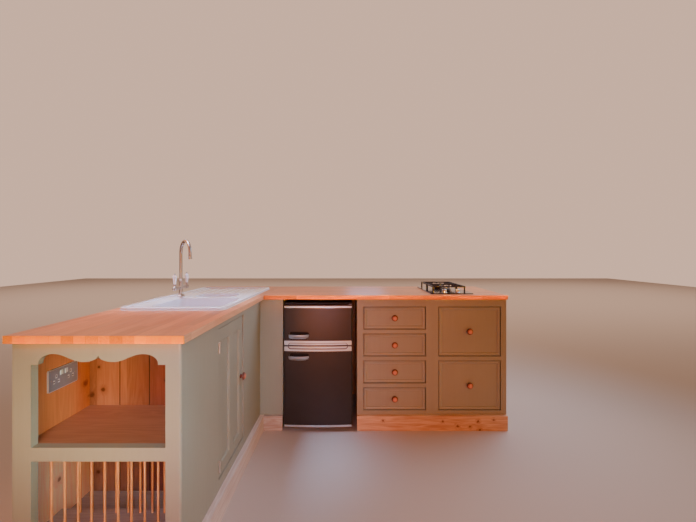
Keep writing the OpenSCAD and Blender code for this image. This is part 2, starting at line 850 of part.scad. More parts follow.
module cupboard_floor() {
    color(pale_pine)
        block(left_wall + back_t, side_face - frame_t, partition_back, unit_back,
            open_low_h - panel_t, open_low_h);
}

module cupboard_back() {
    color(pale_pine) {
        block(left_wall, left_wall + back_t, partition_back, back_wall, 0, under_h);
        block(left_wall + back_t, bay_x0, unit_back, back_wall, 0, under_h);
    }
}

// One knuckle of a butt hinge with the part of its leaf that reaches in from the face
module knuckle(leaf_y, z0, z1) {
    translate([knuckle_x, knuckle_y, z0])
        cylinder(r = knuckle_r, h = z1 - z0);
    block(side_face - leaf_w, knuckle_x, leaf_y, leaf_y + leaf_t, z0, z1);
}

// The frame's leaf of a butt hinge, with the two end knuckles and the pin
module frame_leaf(z) {
    third = butt_h / 3;
    translate([knuckle_x, knuckle_y, z])
        cylinder(r = butt_pin_r, h = butt_h);
    knuckle(cup_open_y0, z, z + third);
    knuckle(cup_open_y0, z + 2 * third, z + butt_h);
    block(side_face - leaf_w, side_face - butt_gap, cup_open_y0, cup_open_y0 + leaf_t, z, z + butt_h);
}

// The door's leaf of a butt hinge, with the middle knuckle
module door_leaf(z) {
    third = butt_h / 3;
    difference() {
        knuckle(door_y0 - leaf_t, z + third + butt_gap, z + 2 * third - butt_gap);
        translate([knuckle_x, knuckle_y, z])
            cylinder(r = butt_pin_r + butt_gap, h = butt_h);
    }
    block(side_face - leaf_w, side_face - door_set_back, door_y0 - leaf_t, door_y0, z, z + butt_h);
}

module cupboard_hinges() {
    color(steel)
        for (z = butt_z)
            frame_leaf(z);
}

module cupboard_door_leaves() {
    color(steel)
        for (z = butt_z)
            door_leaf(z);
}

module corner_filler() {
    color(paint) {
        block(side_face, bay_x0, back_face, frame_back, 0, under_h);
        block(bay_x0 - panel_t, bay_x0, frame_back, unit_back, 0, under_h);
    }
}

module drawer_frame() {
    color(paint)
        difference() {
            block(unit_x0, unit_x1, back_face, frame_back, 0, under_h);
            for (z = small_z0)
                block(col_x0[0], col_x0[0] + drawer_open_w, back_face - eps, frame_back + eps,
                    z, z + small_open_h);
            for (z = deep_z0)
                block(col_x0[1], col_x0[1] + drawer_open_w, back_face - eps, frame_back + eps,
                    z, z + deep_open_h);
        }
}

module drawer_unit_panels() {
    color(pale_pine)
        for (x = [unit_x0, mid_panel_x - panel_t / 2, unit_x1 - panel_t])
            block(x, x + panel_t, frame_back, unit_back, 0, under_h);
}

module drawer_unit_back() {
    color(pale_pine)
        block(bay_x0, unit_x1, unit_back, back_wall, 0, under_h);
}

// The two runners of one drawer, each from its panel to under the box's side
module runner_pair(col, z) {
    x0 = col == 0 ? unit_x0 + panel_t : mid_panel_x + panel_t / 2;
    x1 = col == 0 ? mid_panel_x - panel_t / 2 : unit_x1 - panel_t;
    reach = drawer_side_gap + drawer_wall_t;
    top = z + front_gap;
    block(x0, col_x0[col] + reach, frame_back, unit_back, top - runner_h, top);
    block(col_x0[col] + drawer_open_w - reach, x1, frame_back, unit_back, top - runner_h, top);
}

module drawer_runners() {
    color(pale_pine) {
        for (z = small_z0)
            runner_pair(0, z);
        for (z = deep_z0)
            runner_pair(1, z);
    }
}

module plinth_left() {
    color(pale_pine)
        block(side_face, side_edge, end_face, back_face, 0, plinth_h);
}

module plinth_end() {
    color(pale_pine)
        block(left_wall, side_edge, end_face - plinth_end_t, end_face, 0, plinth_h);
}

module plinth_corner() {
    color(pale_pine)
        block(side_edge, bay_x0, back_edge, back_face, 0, plinth_h);
}

module plinth_back() {
    color(pale_pine)
        block(unit_x0, unit_x1, back_edge, back_face, 0, plinth_h);
}

// A bowl's hollow, or with t its outer shell, drawn from its floor up
module bowl(x0, y0, w, l, floor_z, top_z, r, t) {
    tub(x0 - t, x0 + w + t, y0 - t, y0 + l + t, floor_z - t, top_z, r + t, bowl_floor_r + t);
}

module main_bowl(top_z, t) {
    bowl(bowl_x0, bowl_y0, bowl_w, bowl_l, bowl_floor, top_z, bowl_r, t);
}

module half_bowl(top_z, t) {
    bowl(half_x0, half_y0, half_bowl_w, half_bowl_l, half_floor, top_z, half_bowl_r, t);
}

// Places what belongs to each bowl's waste at the middle of the bowl's floor
module at_wastes() {
    translate([bowl_x0 + bowl_w / 2, bowl_y0 + bowl_l / 2, bowl_floor])
        children();
    translate([half_x0 + half_bowl_w / 2, half_y0 + half_bowl_l / 2, half_floor])
        children();
}

module sink() {
    pitch = drainer_w / drainer_grooves;
    bead = sink_bead_w;
    color(ceramic)
        difference() {
            union() {
                mirror([0, 0, 1])
                    tub(sink_x0, sink_x1, sink_y0, sink_y1, -sink_top, -worktop_h, sink_r, sink_edge_r);
                main_bowl(worktop_h, sink_wall_t);
                half_bowl(worktop_h, sink_wall_t);
            }
            round_block(sink_x0 + bead, sink_x1 - bead, sink_y0 + bead, sink_y1 - bead,
                sink_deck, sink_top + eps, sink_r - bead);
            main_bowl(sink_top, 0);
            half_bowl(sink_top, 0);
            round_block(drainer_x0, drainer_x0 + drainer_w, drainer_y0, drainer_y0 + drainer_l,
                drainer_z, sink_top, drainer_r);
            for (i = [0:drainer_grooves - 1])
                round_block(drainer_x0 + (i + 0.5) * pitch - groove_w / 2,
                    drainer_x0 + (i + 0.5) * pitch + groove_w / 2,
                    drainer_y0 + groove_w, drainer_y0 + drainer_l - groove_w,
                    drainer_z - groove_d, sink_top, groove_w / 2.2);
            at_wastes()
                translate([0, 0, -2 * sink_wall_t])
                    cylinder(d = waste_d, h = 3 * sink_wall_t);
        }
}

// A basket waste: its flange lies on the bowl's floor and its body hangs below
module basket_waste() {
    flange_t = sink_wall_t / 5;
    body_r = waste_d / 2 - waste_gap;
    rotate_extrude()
        polygon([[0, -3 * flange_t], [waste_d / 2 - 4 * flange_t, -3 * flange_t], [body_r, flange_t],
            [waste_flange_d / 2 - flange_t, flange_t], [waste_flange_d / 2, 0], [body_r, 0],
            [body_r, -waste_body_l], [waste_tail_d / 2, -waste_body_l - sink_wall_t],
            [waste_tail_d / 2, -waste_body_l - sink_wall_t - waste_tail_l],
            [0, -waste_body_l - sink_wall_t - waste_tail_l]]);
}

module sink_wastes() {
    color(steel)
        at_wastes()
            basket_waste();
}

module tap_body() {
    bore_d = spigot_d + 2 * tap_gap;
    color(chrome)
        translate([tap_x, tap_y, 0])
            difference() {
                union() {
                    translate([0, 0, sink_deck])
                        rotate_extrude()
                            polygon([[0, 0], [tap_base_d / 2, 0], [tap_base_d / 2, 4],
                                [tap_base_d / 2 - 3, 7], [15, 14], [12, 28], [11, tap_arm_h - 10],
                                [15, tap_arm_h - 4], [15, tap_arm_h + 8], [12, tap_arm_h + 14],
                                [11, tap_arm_h + tap_collar_h - 9], [14, tap_arm_h + tap_collar_h - 6],
                                [14, tap_arm_h + tap_collar_h], [0, tap_arm_h + tap_collar_h]]);
                    translate([0, -tap_arm_l, tap_arm_z])
                        rotate([-90, 0, 0])
                            cylinder(d = tap_arm_d, h = 2 * tap_arm_l);
                    translate([0, -tap_arm_l - lever_hub_l + 6, tap_arm_z])
                        rotate([-90, 0, 0])
                            cylinder(d = spindle_d, h = 2 * (tap_arm_l + lever_hub_l - 6));
                }
                translate([0, 0, spout_seat_z - spigot_l - 1])
                    cylinder(d = bore_d, h = spigot_l + 2);
            }
}

module tap_spout() {
    bend_r = spout_reach / 2;
    bend_z = spout_top_z - spout_d / 2 - bend_r;
    foot_z = spout_seat_z + tap_gap;
    color(chrome)
        translate([tap_x, tap_y, 0])
            rotate([0, 0, -spout_rest_deg]) {
                translate([0, 0, spout_seat_z - spigot_l])
                    cylinder(d = spigot_d, h = spigot_l + tap_gap + 1);
                translate([0, 0, foot_z])
                    rotate_extrude()
                        polygon([[0, 0], [14, 0], [14, 6], [11, 10], [0, 10]]);
                translate([0, 0, foot_z])
                    cylinder(d = spout_d, h = bend_z - foot_z);
                translate([bend_r, 0, bend_z])
                    rotate([90, 0, 0])
                        rotate_extrude(angle = 180)
                            translate([bend_r, 0])
                                circle(d = spout_d);
                translate([spout_reach, 0, bend_z - spout_drop])
                    cylinder(d = spout_d, h = spout_drop);
                translate([spout_reach, 0, bend_z - spout_drop - 8])
                    cylinder(d = spout_d + 4, h = 12);
            }
}

// Hub of a lever, closed at its outer end and bored for the spindle
module tap_hub(side) {
    hub_y = tap_arm_l + tap_gap;
    color(chrome)
        translate([tap_x, tap_y, tap_arm_z])
            mirror([0, side < 0 ? 1 : 0, 0])
                translate([0, hub_y, 0]) {
                    difference() {
                        rotate([-90, 0, 0])
                            rotate_extrude()
                                polygon([[0, 0], [lever_hub_d / 2 - 1, 0], [lever_hub_d / 2, 1],
                                    [lever_hub_d / 2, lever_hub_l - 5], [lever_hub_d / 2 - 5, lever_hub_l],
                                    [0, lever_hub_l]]);
                        rotate([-90, 0, 0])
                            translate([0, 0, -eps])
                                cylinder(d = spindle_d + 2 * tap_gap, h = lever_hub_l - 5 + eps);
                    }
                    translate([0, lever_hub_l / 2, lever_hub_d / 2 - 2])
                        rotate_extrude()
                            lever_foot(lever_foot_h - lever_hub_d / 2 + 2);
                    translate([0, lever_hub_l / 2, lever_tip_h])
                        rotate_extrude()
                            lever_button();
                }
}

// Half section of the waisted foot that carries a lever
module lever_foot(h) {
    r = lever_foot_d / 2;
    polygon([[0, 0], [r + 1, 0], [r - 2, h * 0.35], [r - 2, h * 0.6], [r, h * 0.8], [r, h], [0, h]]);
}

// Half section of the button on a lever's tip
module lever_button() {
    r = lever_button_d / 2;
    h = lever_button_h;
    polygon([[0, 0], [r * 0.6, 0], [r * 0.6, h * 0.2], [r, h * 0.45], [r * 0.85, h * 0.8],
        [r * 0.4, h], [0, h]]);
}

module tap_lever(side) {
    y = side * (tap_arm_l + tap_gap + lever_hub_l / 2);
    l = lever_tip_h - lever_foot_h;
    r0 = lever_foot_d / 2;
    r1 = lever_top_d / 2;
    cap = r1;
    color(ceramic)
        translate([tap_x, tap_y + y, tap_arm_z + lever_foot_h])
            rotate_extrude()
                polygon(concat([[0, 0], [r0, 0], [r0 + (r1 - r0) * 0.3, l * 0.3], [r1 * 0.92, l * 0.65]],
                    [for (a = [0:15:60]) [r1 * cos(a), l - cap * (1 - sin(a))]],
                    [[lever_button_d / 2, l], [0, l]]));
}

module hob_plate() {
    color(black) {
        round_block(hob_x0, hob_x1, hob_y0, hob_y1, worktop_h, hob_top, hob_r);
        block(hob_tray_x0, hob_x1 - hob_bearing - hob_tray_gap, hob_y0 + hob_bearing + hob_tray_gap,
            hob_y1 - hob_bearing - hob_tray_gap, worktop_h - hob_tray_d, worktop_h);
    }
}

module burner(y, d) {
    translate([hob_mid_x, y, hob_top])
        rotate_extrude()
            polygon([[0, 0], [d / 2 - 4, 0], [d / 2 - 6, 9], [d / 2, 10], [d / 2, 13], [d / 2 - 8, 14],
                [d / 2 - 8, 18], [d / 2 - 11, 20], [0, 20]]);
}

module hob_burners() {
    color(black) {
        burner(hob_y0 + burner_front, burner_front_d);
        burner(hob_y0 + burner_front + burner_pitch, burner_rear_d);
    }
}

// A pan support: a square frame with four fingers, on four feet
module pan_support(y) {
    b = support_bar;
    top = worktop_h + hob_support_h;
    hw = support_w / 2;
    hl = support_l / 2;
    translate([hob_mid_x, y, 0]) {
        difference() {
            block(-hw, hw, -hl, hl, top - b, top);
            block(-hw + b, hw - b, -hl + b, hl - b, top - b - eps, top + eps);
        }
        for (a = [0, 180])
            rotate([0, 0, a]) {
                block(hw - support_finger_l - b, hw, -b / 2, b / 2, top - b, top);
                block(-b / 2, b / 2, hl - support_finger_l + b, hl, top - b, top);
            }
        for (sx = [-1, 1], sy = [-1, 1])
            block(sx * (hw - b / 2) - b / 2, sx * (hw - b / 2) + b / 2, sy * (hl - b / 2) - b / 2,
                sy * (hl - b / 2) + b / 2, hob_top, top);
    }
}

module hob_pan_supports() {
    color(iron) {
        pan_support(hob_y0 + burner_front);
        pan_support(hob_y0 + burner_front + burner_pitch);
    }
}

module hob_knob(side) {
    r = hob_knob_d / 2;
    h = hob_knob_h;
    color(steel)
        translate([hob_mid_x + side * hob_knob_pitch / 2, hob_y0 + hob_knob_front, hob_top + hob_knob_gap]) {
            rotate_extrude()
                polygon([[0, 0], [r, 0], [r, 4], [r - 3, 6], [r - 4, h - 2], [r - 6, h], [0, h]]);
            block(-2, 2, -r + 5, 0, h - 1, h + 2);
        }
}

// One outlet's three pin slots, drawn round its middle
module pin_slots() {
    l = socket_slot_l;
    w = socket_slot_w;
    d = socket_slot_d + eps;
    translate([-w / 2, l, 0])
        cube([w, l, d]);
    for (s = [-1, 1])
        translate([s * socket_slot_x - l / 2, -l - w, 0])
            cube([l, w, d]);
}

module niche_socket() {
    color(steel)
        translate([niche_x0, near_end + socket_start, shelf_h + socket_up])
            rotate([90, 0, 90]) {
                difference() {
                    translate([-socket_w / 2, -socket_h / 2, 0])
                        linear_extrude(socket_t)
                            round_rect(socket_w, socket_h, 4);
                    for (s = [-1, 1])
                        translate([s * socket_pitch / 2, 0, socket_t - socket_slot_d])
                            pin_slots();
                }
                for (s = [-1, 1])
                    translate([(s - 0.5) * rocker_w, rocker_w, socket_t])
                        cube([rocker_w, rocker_h, rocker_t]);
            }
}

module fridge_cabinet() {
    t = fridge_wall_t;
    z0 = fridge_foot_h;
    color(black) {
        difference() {
            block(fridge_x0, fridge_x1, fridge_body_y0, fridge_body_y1, z0, fridge_h);
            block(fridge_x0 + t, fridge_x1 - t, fridge_body_y0 - eps, fridge_body_y1 - t,
                z0 + 2 * t, door_split_h - t / 2);
            block(fridge_x0 + t, fridge_x1 - t, fridge_body_y0 - eps, fridge_body_y1 - t,
                door_split_h + t / 2, fridge_h - t);
        }
        for (x = [fridge_x0 + t, fridge_x1 - t], y = [fridge_body_y0 + t, fridge_body_y1 - t])
            translate([x, y, 0])
                cylinder(d = t, h = z0);
    }
}

// A hinge bracket: a plate on the cabinet's front, with pins up or down into the doors
module hinge_bracket(z0, z1, pin_z0, pin_z1) {
    block(pin_x - pin_inset, fridge_x1, pin_y - pin_inset, fridge_body_y0, z0, z1);
    translate([pin_x, pin_y, pin_z0])
        cylinder(d = pin_d, h = pin_z1 - pin_z0);
}

module fridge_hinges() {
    g = pin_gap;
    top = freezer_door_top_h + g;
    low = fridge_door_low_h - g;
    color(steel) {
        hinge_bracket(top, top + bracket_t, freezer_door_top_h - pin_l, top + bracket_t);
        hinge_bracket(fridge_z1 + g, freezer_z0 - g, fridge_z1 - pin_l, freezer_z0 + pin_l);
        hinge_bracket(low - bracket_t, low, low - bracket_t, fridge_door_low_h + pin_l);
    }
}

module fridge_shelves() {
    t = fridge_wall_t;
    low = fridge_foot_h + 2 * t;
    step = (door_split_h - t / 2 - low) / 3;
    color([0.8, 0.9, 0.9])
        for (i = [1, 2])
            block(fridge_x0 + t, fridge_x1 - t, fridge_body_y0 + glass_set_back, fridge_body_y1 - t,
                low + i * step, low + i * step + glass_t);
}

// Outline of the appliance doors from above: a bowed front between rounded edges
module door_plan() {
    r = fridge_edge_r;
    intersection() {
        translate([fridge_mid_x, bow_y])
            circle(bow_r, $fn = 720);
        translate([fridge_x0 + r, fridge_front - eps])
            square([fridge_w - 2 * r, fridge_door_t + eps]);
    }
    translate([fridge_x0, door_edge_y])
        square([fridge_w, fridge_door_back - door_edge_y]);
    for (x = [fridge_x0 + r, fridge_x1 - r])
        translate([x, door_edge_y])
            circle(r);
}

// One appliance door, with a hollow back, a finger recess and bores for the hinge pins
module appliance_door(z0, z1, handle_z) {
    grip_w = handle_w - 2 * grip_inset;
    color(black)
        difference() {
            translate([0, 0, z0])
                linear_extrude(z1 - z0)
                    door_plan();
            block(fridge_x0 + door_rim_w, fridge_x1 - door_rim_w, fridge_door_back - door_liner_d,
                fridge_door_back + eps, z0 + fridge_wall_t, z1 - fridge_wall_t);
            translate([handle_x - grip_w / 2, fridge_front + grip_d, handle_z + handle_t])
                rotate([90, 0, 0])
                    linear_extrude(grip_d + fridge_bow)
                        round_rect(grip_w, grip_h, grip_h / 3);
            for (z = [z0, z1])
                translate([pin_x, pin_y, z - pin_l - 1])
                    cylinder(d = pin_d + 2 * pin_gap, h = 2 * (pin_l + 1));
        }
}

// A band along a door's bowed front, from t0 to t1 before it
module band(z0, z1, t0, t1) {
    a = asin((fridge_w / 2 - trim_end_gap) / bow_r);
    translate([fridge_mid_x, bow_y, 0])
        rotate([0, 0, -90 - a])
            rotate_extrude(angle = 2 * a, $fn = 720)
                translate([bow_r + t0, z0])
                    square([t1 - t0, z1 - z0]);
}

// The trim beside the gap between the doors, with its half of the long round-ended hollow
module split_trim(z0, z1) {
    w = fridge_w - 2 * trim_hollow_inset;
    h = trim_hollow_h;
    back = split_trim_t - trim_hollow_d;
    band(z0, z1, 0, back);
    difference() {
        band(z0, z1, back, split_trim_t);
        translate([fridge_mid_x - w / 2, fridge_front + fridge_bow, door_split_h - h / 2])
            rotate([90, 0, 0])
                linear_extrude(fridge_bow + split_trim_t + eps)
                    round_rect(w, h, h / 2.2);
    }
}

// A lip handle: a shallow cup that stands out from the door, open at the top
module lip_handle(z) {
    a = asin(handle_w / 2 / handle_r);
    r = handle_r;
    t = handle_t;
    difference() {
        translate([handle_x, handle_y, z])
            rotate([0, 0, -90 - a])
                rotate_extrude(angle = 2 * a, $fn = 240)
                    polygon([[r - handle_out - t, 0], [r - handle_out / 2, 0], [r - t, handle_h * 0.3],
                        [r, handle_h * 0.65], [r, handle_h], [r - t, handle_h], [r - t, handle_h * 0.65],
                        [r - 2 * t, handle_h * 0.35], [r - handle_out / 2 - t, t], [r - handle_out - t, t]]);
        translate([fridge_mid_x, bow_y, z - eps])
            cylinder(r = bow_r, h = handle_h + 2 * eps, $fn = 720);
    }
}

module freezer_door() {
    appliance_door(freezer_z0, freezer_door_top_h, freezer_handle_h);
}

module fridge_door() {
    appliance_door(fridge_door_low_h, fridge_z1, fridge_handle_h);
}

module freezer_door_trim() {
    color(chrome) {
        split_trim(freezer_z0, freezer_z0 + split_trim_h);
        band(freezer_door_top_h - top_trim_drop - top_trim_h, freezer_door_top_h - top_trim_drop, 0, trim_t);
        lip_handle(freezer_handle_h);
    }
}

module fridge_door_trim() {
    color(chrome) {
        split_trim(fridge_z1 - split_trim_h, fridge_z1);
        band(fridge_door_low_h, fridge_door_low_h + low_trim_h, 0, trim_t);
        lip_handle(fridge_handle_h);
    }
}

// The cupboard door with its two tall sunk panels
module cupboard_door() {
    w = door_y1 - door_y0;
    h = door_z1 - door_z0;
    panel_w = (w - 2 * door_stile_w - door_muntin_w) / 2;
    panel_h = h - door_rail_low_h - door_rail_top_h;
    panel_z = (door_rail_low_h - door_rail_top_h) / 2;
    color(paint)
        on_door_front((door_y0 + door_y1) / 2, (door_z0 + door_z1) / 2)
            difference() {
                translate([-w / 2, -h / 2, -front_t])
                    cube([w, h, front_t]);
                for (s = [-1, 1])
                    translate([s * (panel_w + door_muntin_w) / 2, panel_z, 0])
                        mitred_hollow(panel_w, panel_h, door_mould_w, door_sink_d);
            }
}

module cupboard_knob() {
    on_door_front(door_y1 - door_knob_inset, door_knob_h)
        turned_knob();
}

// A drawer: a front with a sunk moulded field and an open box behind it
module drawer(col, z, open_h, box_h) {
    w = drawer_open_w - 2 * front_gap;
    h = open_h - 2 * front_gap;
    box_x0 = col_x0[col] + drawer_side_gap;
    box_x1 = col_x0[col] + drawer_open_w - drawer_side_gap;
    box_y0 = back_face + drawer_set_back + front_t;
    box_y1 = box_y0 + drawer_box_d;
    box_z = z + front_gap + runner_gap;
    t = drawer_wall_t;
    color(paint)
        on_drawer_front(col_x0[col] + drawer_open_w / 2, z + open_h / 2)
            difference() {
                translate([-w / 2, -h / 2, -front_t])
                    cube([w, h, front_t]);
                mitred_hollow(w - 2 * drawer_lip_w, h - 2 * drawer_lip_w, drawer_mould_w, drawer_sink_d);
            }
    color(pale_pine)
        difference() {
            block(box_x0, box_x1, box_y0, box_y1, box_z, box_z + box_h);
            block(box_x0 + t, box_x1 - t, box_y0 + t, box_y1 - t, box_z + t + drawer_bottom_t,
                box_z + box_h + eps);
            block(box_x0 + t, box_x1 - t, box_y0 + t, box_y1 - t, box_z - eps, box_z + t);
        }
}

module drawer_knob(col, z, open_h) {
    translate([0, drawer_sink_d, 0])
        on_drawer_front(col_x0[col] + drawer_open_w / 2, z + open_h / 2)
            turned_knob();
}

module small_drawer(i) {
    drawer(0, small_z0[i], small_open_h, drawer_box_h);
}

module small_drawer_knob(i) {
    drawer_knob(0, small_z0[i], small_open_h);
}

module deep_drawer(i) {
    drawer(1, deep_z0[i], deep_open_h, deep_box_h);
}

module deep_drawer_knob(i) {
    drawer_knob(1, deep_z0[i], deep_open_h);
}

worktop_left();
worktop_back();
end_frame();
end_valance();
end_side_panel();
niche_side_boards();
niche_back_boards();
niche_shelf();
rack_floor();
rack_dowels();
cupboard_frame();
cupboard_floor();
cupboard_back();
cupboard_hinges();
corner_filler();
drawer_frame();
drawer_unit_panels();
drawer_unit_back();
drawer_runners();
plinth_left();
plinth_end();
plinth_corner();
plinth_back();
sink();
sink_wastes();
tap_body();
hob_plate();
hob_burners();
hob_pan_supports();
niche_socket();
fridge_cabinet();
fridge_hinges();
fridge_shelves();
cupboard_door();
cupboard_knob();
cupboard_door_leaves();
freezer_door();
freezer_door_trim();
fridge_door();
fridge_door_trim();
tap_spout();
tap_hub(-1);  // tap_hub_near
tap_lever(-1);  // tap_lever_near
tap_hub(1);  // tap_hub_far
tap_lever(1);  // tap_lever_far
hob_knob(-1);  // hob_knob_left
hob_knob(1);  // hob_knob_right
small_drawer(0);  // drawer_1
small_drawer(1);  // drawer_2
small_drawer(2);  // drawer_3
small_drawer(3);  // drawer_4
small_drawer_knob(0);  // drawer_knob_1
small_drawer_knob(1);  // drawer_knob_2
small_drawer_knob(2);  // drawer_knob_3
small_drawer_knob(3);  // drawer_knob_4
deep_drawer(0);  // deep_drawer_1
deep_drawer(1);  // deep_drawer_2
deep_drawer_knob(0);  // deep_drawer_knob_1
deep_drawer_knob(1);  // deep_drawer_knob_2
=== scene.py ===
import math

import bmesh
import bpy
from mathutils import Matrix, Vector


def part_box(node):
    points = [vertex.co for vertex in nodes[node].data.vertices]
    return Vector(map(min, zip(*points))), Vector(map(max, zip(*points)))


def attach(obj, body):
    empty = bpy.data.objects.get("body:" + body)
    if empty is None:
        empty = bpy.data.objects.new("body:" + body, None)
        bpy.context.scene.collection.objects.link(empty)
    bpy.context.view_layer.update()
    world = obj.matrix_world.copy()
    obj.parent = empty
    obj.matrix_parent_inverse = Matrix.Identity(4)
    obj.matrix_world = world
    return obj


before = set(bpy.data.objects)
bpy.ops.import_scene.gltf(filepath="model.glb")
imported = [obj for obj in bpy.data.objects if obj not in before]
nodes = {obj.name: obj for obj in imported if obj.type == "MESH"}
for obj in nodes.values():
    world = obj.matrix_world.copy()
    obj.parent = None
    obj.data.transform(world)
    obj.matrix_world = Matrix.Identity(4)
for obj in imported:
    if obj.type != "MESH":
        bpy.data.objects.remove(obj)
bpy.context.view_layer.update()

scene = bpy.context.scene

# Camera: the eye point of the photograph in metres, and its lens in the photograph's pixels
EYE = (0.0602, -2.074, 1.186)
FOCAL_PX = 350.0
IMAGE_W_PX = 696.0
HORIZON_ABOVE_MIDDLE_PX = 8.5
SENSOR_MM = 36.0
CLIP_NEAR = 0.05
CLIP_FAR = 60.0

# Worktops and plinths, in metres
SIDE_TOP_LOW, SIDE_TOP_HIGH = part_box("worktop_left")
BACK_TOP_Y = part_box("worktop_back")[0].y
EDGE_SKIN = 0.0015
END_PLINTH_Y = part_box("plinth_end")[0].y
BACK_PLINTH_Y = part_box("plinth_back")[0].y

# Niche and its socket plate
NICHE_SIDE_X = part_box("niche_side_boards")[1].x
NICHE_BACK_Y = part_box("niche_back_boards")[0].y
BOARD_W = 0.134
BOARD_BACK_X = NICHE_SIDE_X - 0.004
GROOVE_SKIN = 0.0002
GROOVE_D = 0.0055
# Painted shadow of the niche's right-hand stile: the back boards darken between these x, towards the right
STILE_SHADOW_X = (-0.9275, -0.8075)
# Heights over which the painted cooler light below the niche's shelf fades in
LOW_BOARDS_Z = (0.44, 0.42)
SOCKET_LOW, SOCKET_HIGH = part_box("niche_socket")
SOCKET_MIDDLE = (SOCKET_LOW + SOCKET_HIGH) / 2
SOCKET_PLATE_D = 0.0055
SOCKET_FACE_X = SOCKET_LOW.x + SOCKET_PLATE_D
SOCKET_SKIN = 0.001
SOCKET_HALF_PITCH = 0.036
PIN_SLOTS_SIDE = (0.0065, 0.0155)
PIN_SLOTS_UP = (-0.016, -0.002)
EARTH_SLOT_HALF_W = 0.0045
EARTH_SLOT_UP = (0.004, 0.019)
# A paler band round the plate's edge beyond these: a painted highlight
SOCKET_HIGHLIGHT_SIDE = 0.0708
SOCKET_HIGHLIGHT_UP = 0.0408
SOCKET_HOLES_REACH = 0.06
SOCKET_SCREW_SIDE = 0.0603
SOCKET_SCREW_LIFT = 0.0005

# Sink
SINK_LOW, SINK_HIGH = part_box("sink")
SINK_CORNER_R = 0.038
SEALANT_W = 0.0035
WASTES_LOW, WASTES_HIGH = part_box("sink_wastes")
WASTE_R = 0.042
MAIN_BOWL_FLOOR = 0.725
HALF_BOWL_FLOOR = 0.795
MAIN_WASTE = (WASTES_HIGH.x - WASTE_R, WASTES_LOW.y + WASTE_R, MAIN_BOWL_FLOOR)
HALF_WASTE = (WASTES_LOW.x + WASTE_R, WASTES_HIGH.y - WASTE_R, HALF_BOWL_FLOOR)
STRAINER_FEET = 6
STRAINER_FEET_R = 0.0195

# Fridge-freezer
FRIDGE_LOW, FRIDGE_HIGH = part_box("fridge_cabinet")
FRIDGE_DOOR_LOW, FRIDGE_DOOR_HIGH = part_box("fridge_door")
FREEZER_DOOR_LOW, FREEZER_DOOR_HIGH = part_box("freezer_door")
FRIDGE_MID_X = (FRIDGE_LOW.x + FRIDGE_HIGH.x) / 2
DOOR_SPLIT = (FREEZER_DOOR_LOW.z + FRIDGE_DOOR_HIGH.z) / 2
LINER_WALL = 0.0335
LINER_LOW = 0.087
LINER_FRONT = 0.0015
DIVIDER_HALF = 0.016
DOOR_RIM = 0.006
DOOR_LINER_GAP = 0.0085
DOOR_LINER_Y = (FRIDGE_DOOR_HIGH.y - 0.016, FRIDGE_DOOR_HIGH.y + 0.008)
HANDLE_X = (-0.340, -0.185)
HANDLE_LOWS = (0.616, 0.474)
HANDLE_UP = (-0.001, 0.0275)
RECESS_MID_X = -0.2626
RECESS_UP = 0.024
RECESS_HALF = (0.0649, 0.0209)
RECESS_R = 0.0139
TRIM_HOLLOW_HALF = (0.198, 0.021)
TRIM_HOLLOW_R = TRIM_HOLLOW_HALF[1] * 0.9
# Painted shade round the rim of the trims' hollow, where it fades, and in the gap between the doors
TRIM_SHADE_RIM_IN = (0.0070, 0.0035)
TRIM_SHADE_RIM_OUT = 0.0012
TRIM_SHADE_FADE_UP = (0.008, -0.002)
TRIM_GAP_SHADE_UP = (-0.0040, 0.0065)
GASKET_R = 0.012
GASKET_SKIN = 0.0002
STRIP_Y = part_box("fridge_shelves")[0].y + 0.001
STRIP_HEIGHTS = (0.2432, 0.4014)
STRIP_SIZE = (FRIDGE_HIGH.x - FRIDGE_LOW.x - 0.069, 0.007, 0.0092)
STRIP_EASE = 0.0012
LAMP_MIDDLE = (FRIDGE_HIGH.x - 0.080, FRIDGE_LOW.y + 0.148, 0.53575)
LAMP_SIZE = (0.070, 0.100, 0.0315)
LAMP_EASE = 0.003
LENS_PLACE = (FRIDGE_HIGH.x - 0.080, FRIDGE_LOW.y + 0.0975, 0.5358)

# Hob, with each burner's y, radius and number of flame ports
SUPPORTS_LOW, SUPPORTS_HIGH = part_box("hob_pan_supports")
HOB_MIDDLE = (SUPPORTS_LOW + SUPPORTS_HIGH) / 2
HOB_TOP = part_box("hob_plate")[1].z
SMALL_BURNER_R = 0.038
LARGE_BURNER_R = 0.050
BURNER_HALF_PITCH = 0.1
BURNERS = ((HOB_MIDDLE.y - BURNER_HALF_PITCH, SMALL_BURNER_R, 24),
           (HOB_MIDDLE.y + BURNER_HALF_PITCH, LARGE_BURNER_R, 32))
PORT_IN = 0.0012
PORT_UP = 0.0115
PORT_SIZE = (0.0034, 0.0026, 0.0026)
IGNITER_OUT = 0.007
IGNITER_ANGLES = (225, 315)

# Outlines of small turned parts, as (radius, height)
STRAINER = ((0.0165, -0.0062), (0.0165, -0.0020), (0.0155, -0.0008), (0.0060, 0.0006), (0.0030, 0.0030),
            (0.0030, 0.0052), (0.0058, 0.0070), (0.0056, 0.0088), (0.0012, 0.0096))
STRAINER_FOOT = ((0.0018, -0.0062), (0.0018, -0.0040), (0.0006, -0.0036))
LENS = ((0.013, 0.0), (0.013, 0.006), (0.011, 0.010), (0.004, 0.0105))
IGNITER = ((0.0030, 0.0), (0.0030, 0.0090), (0.0014, 0.0092), (0.0014, 0.0135), (0.0006, 0.0140))
SCREW_HEAD = ((0.0034, 0.0), (0.0034, 0.0006), (0.0024, 0.0013), (0.0006, 0.0015))
BURNER_CAP_MIDDLE = (0.004, 0.0214)

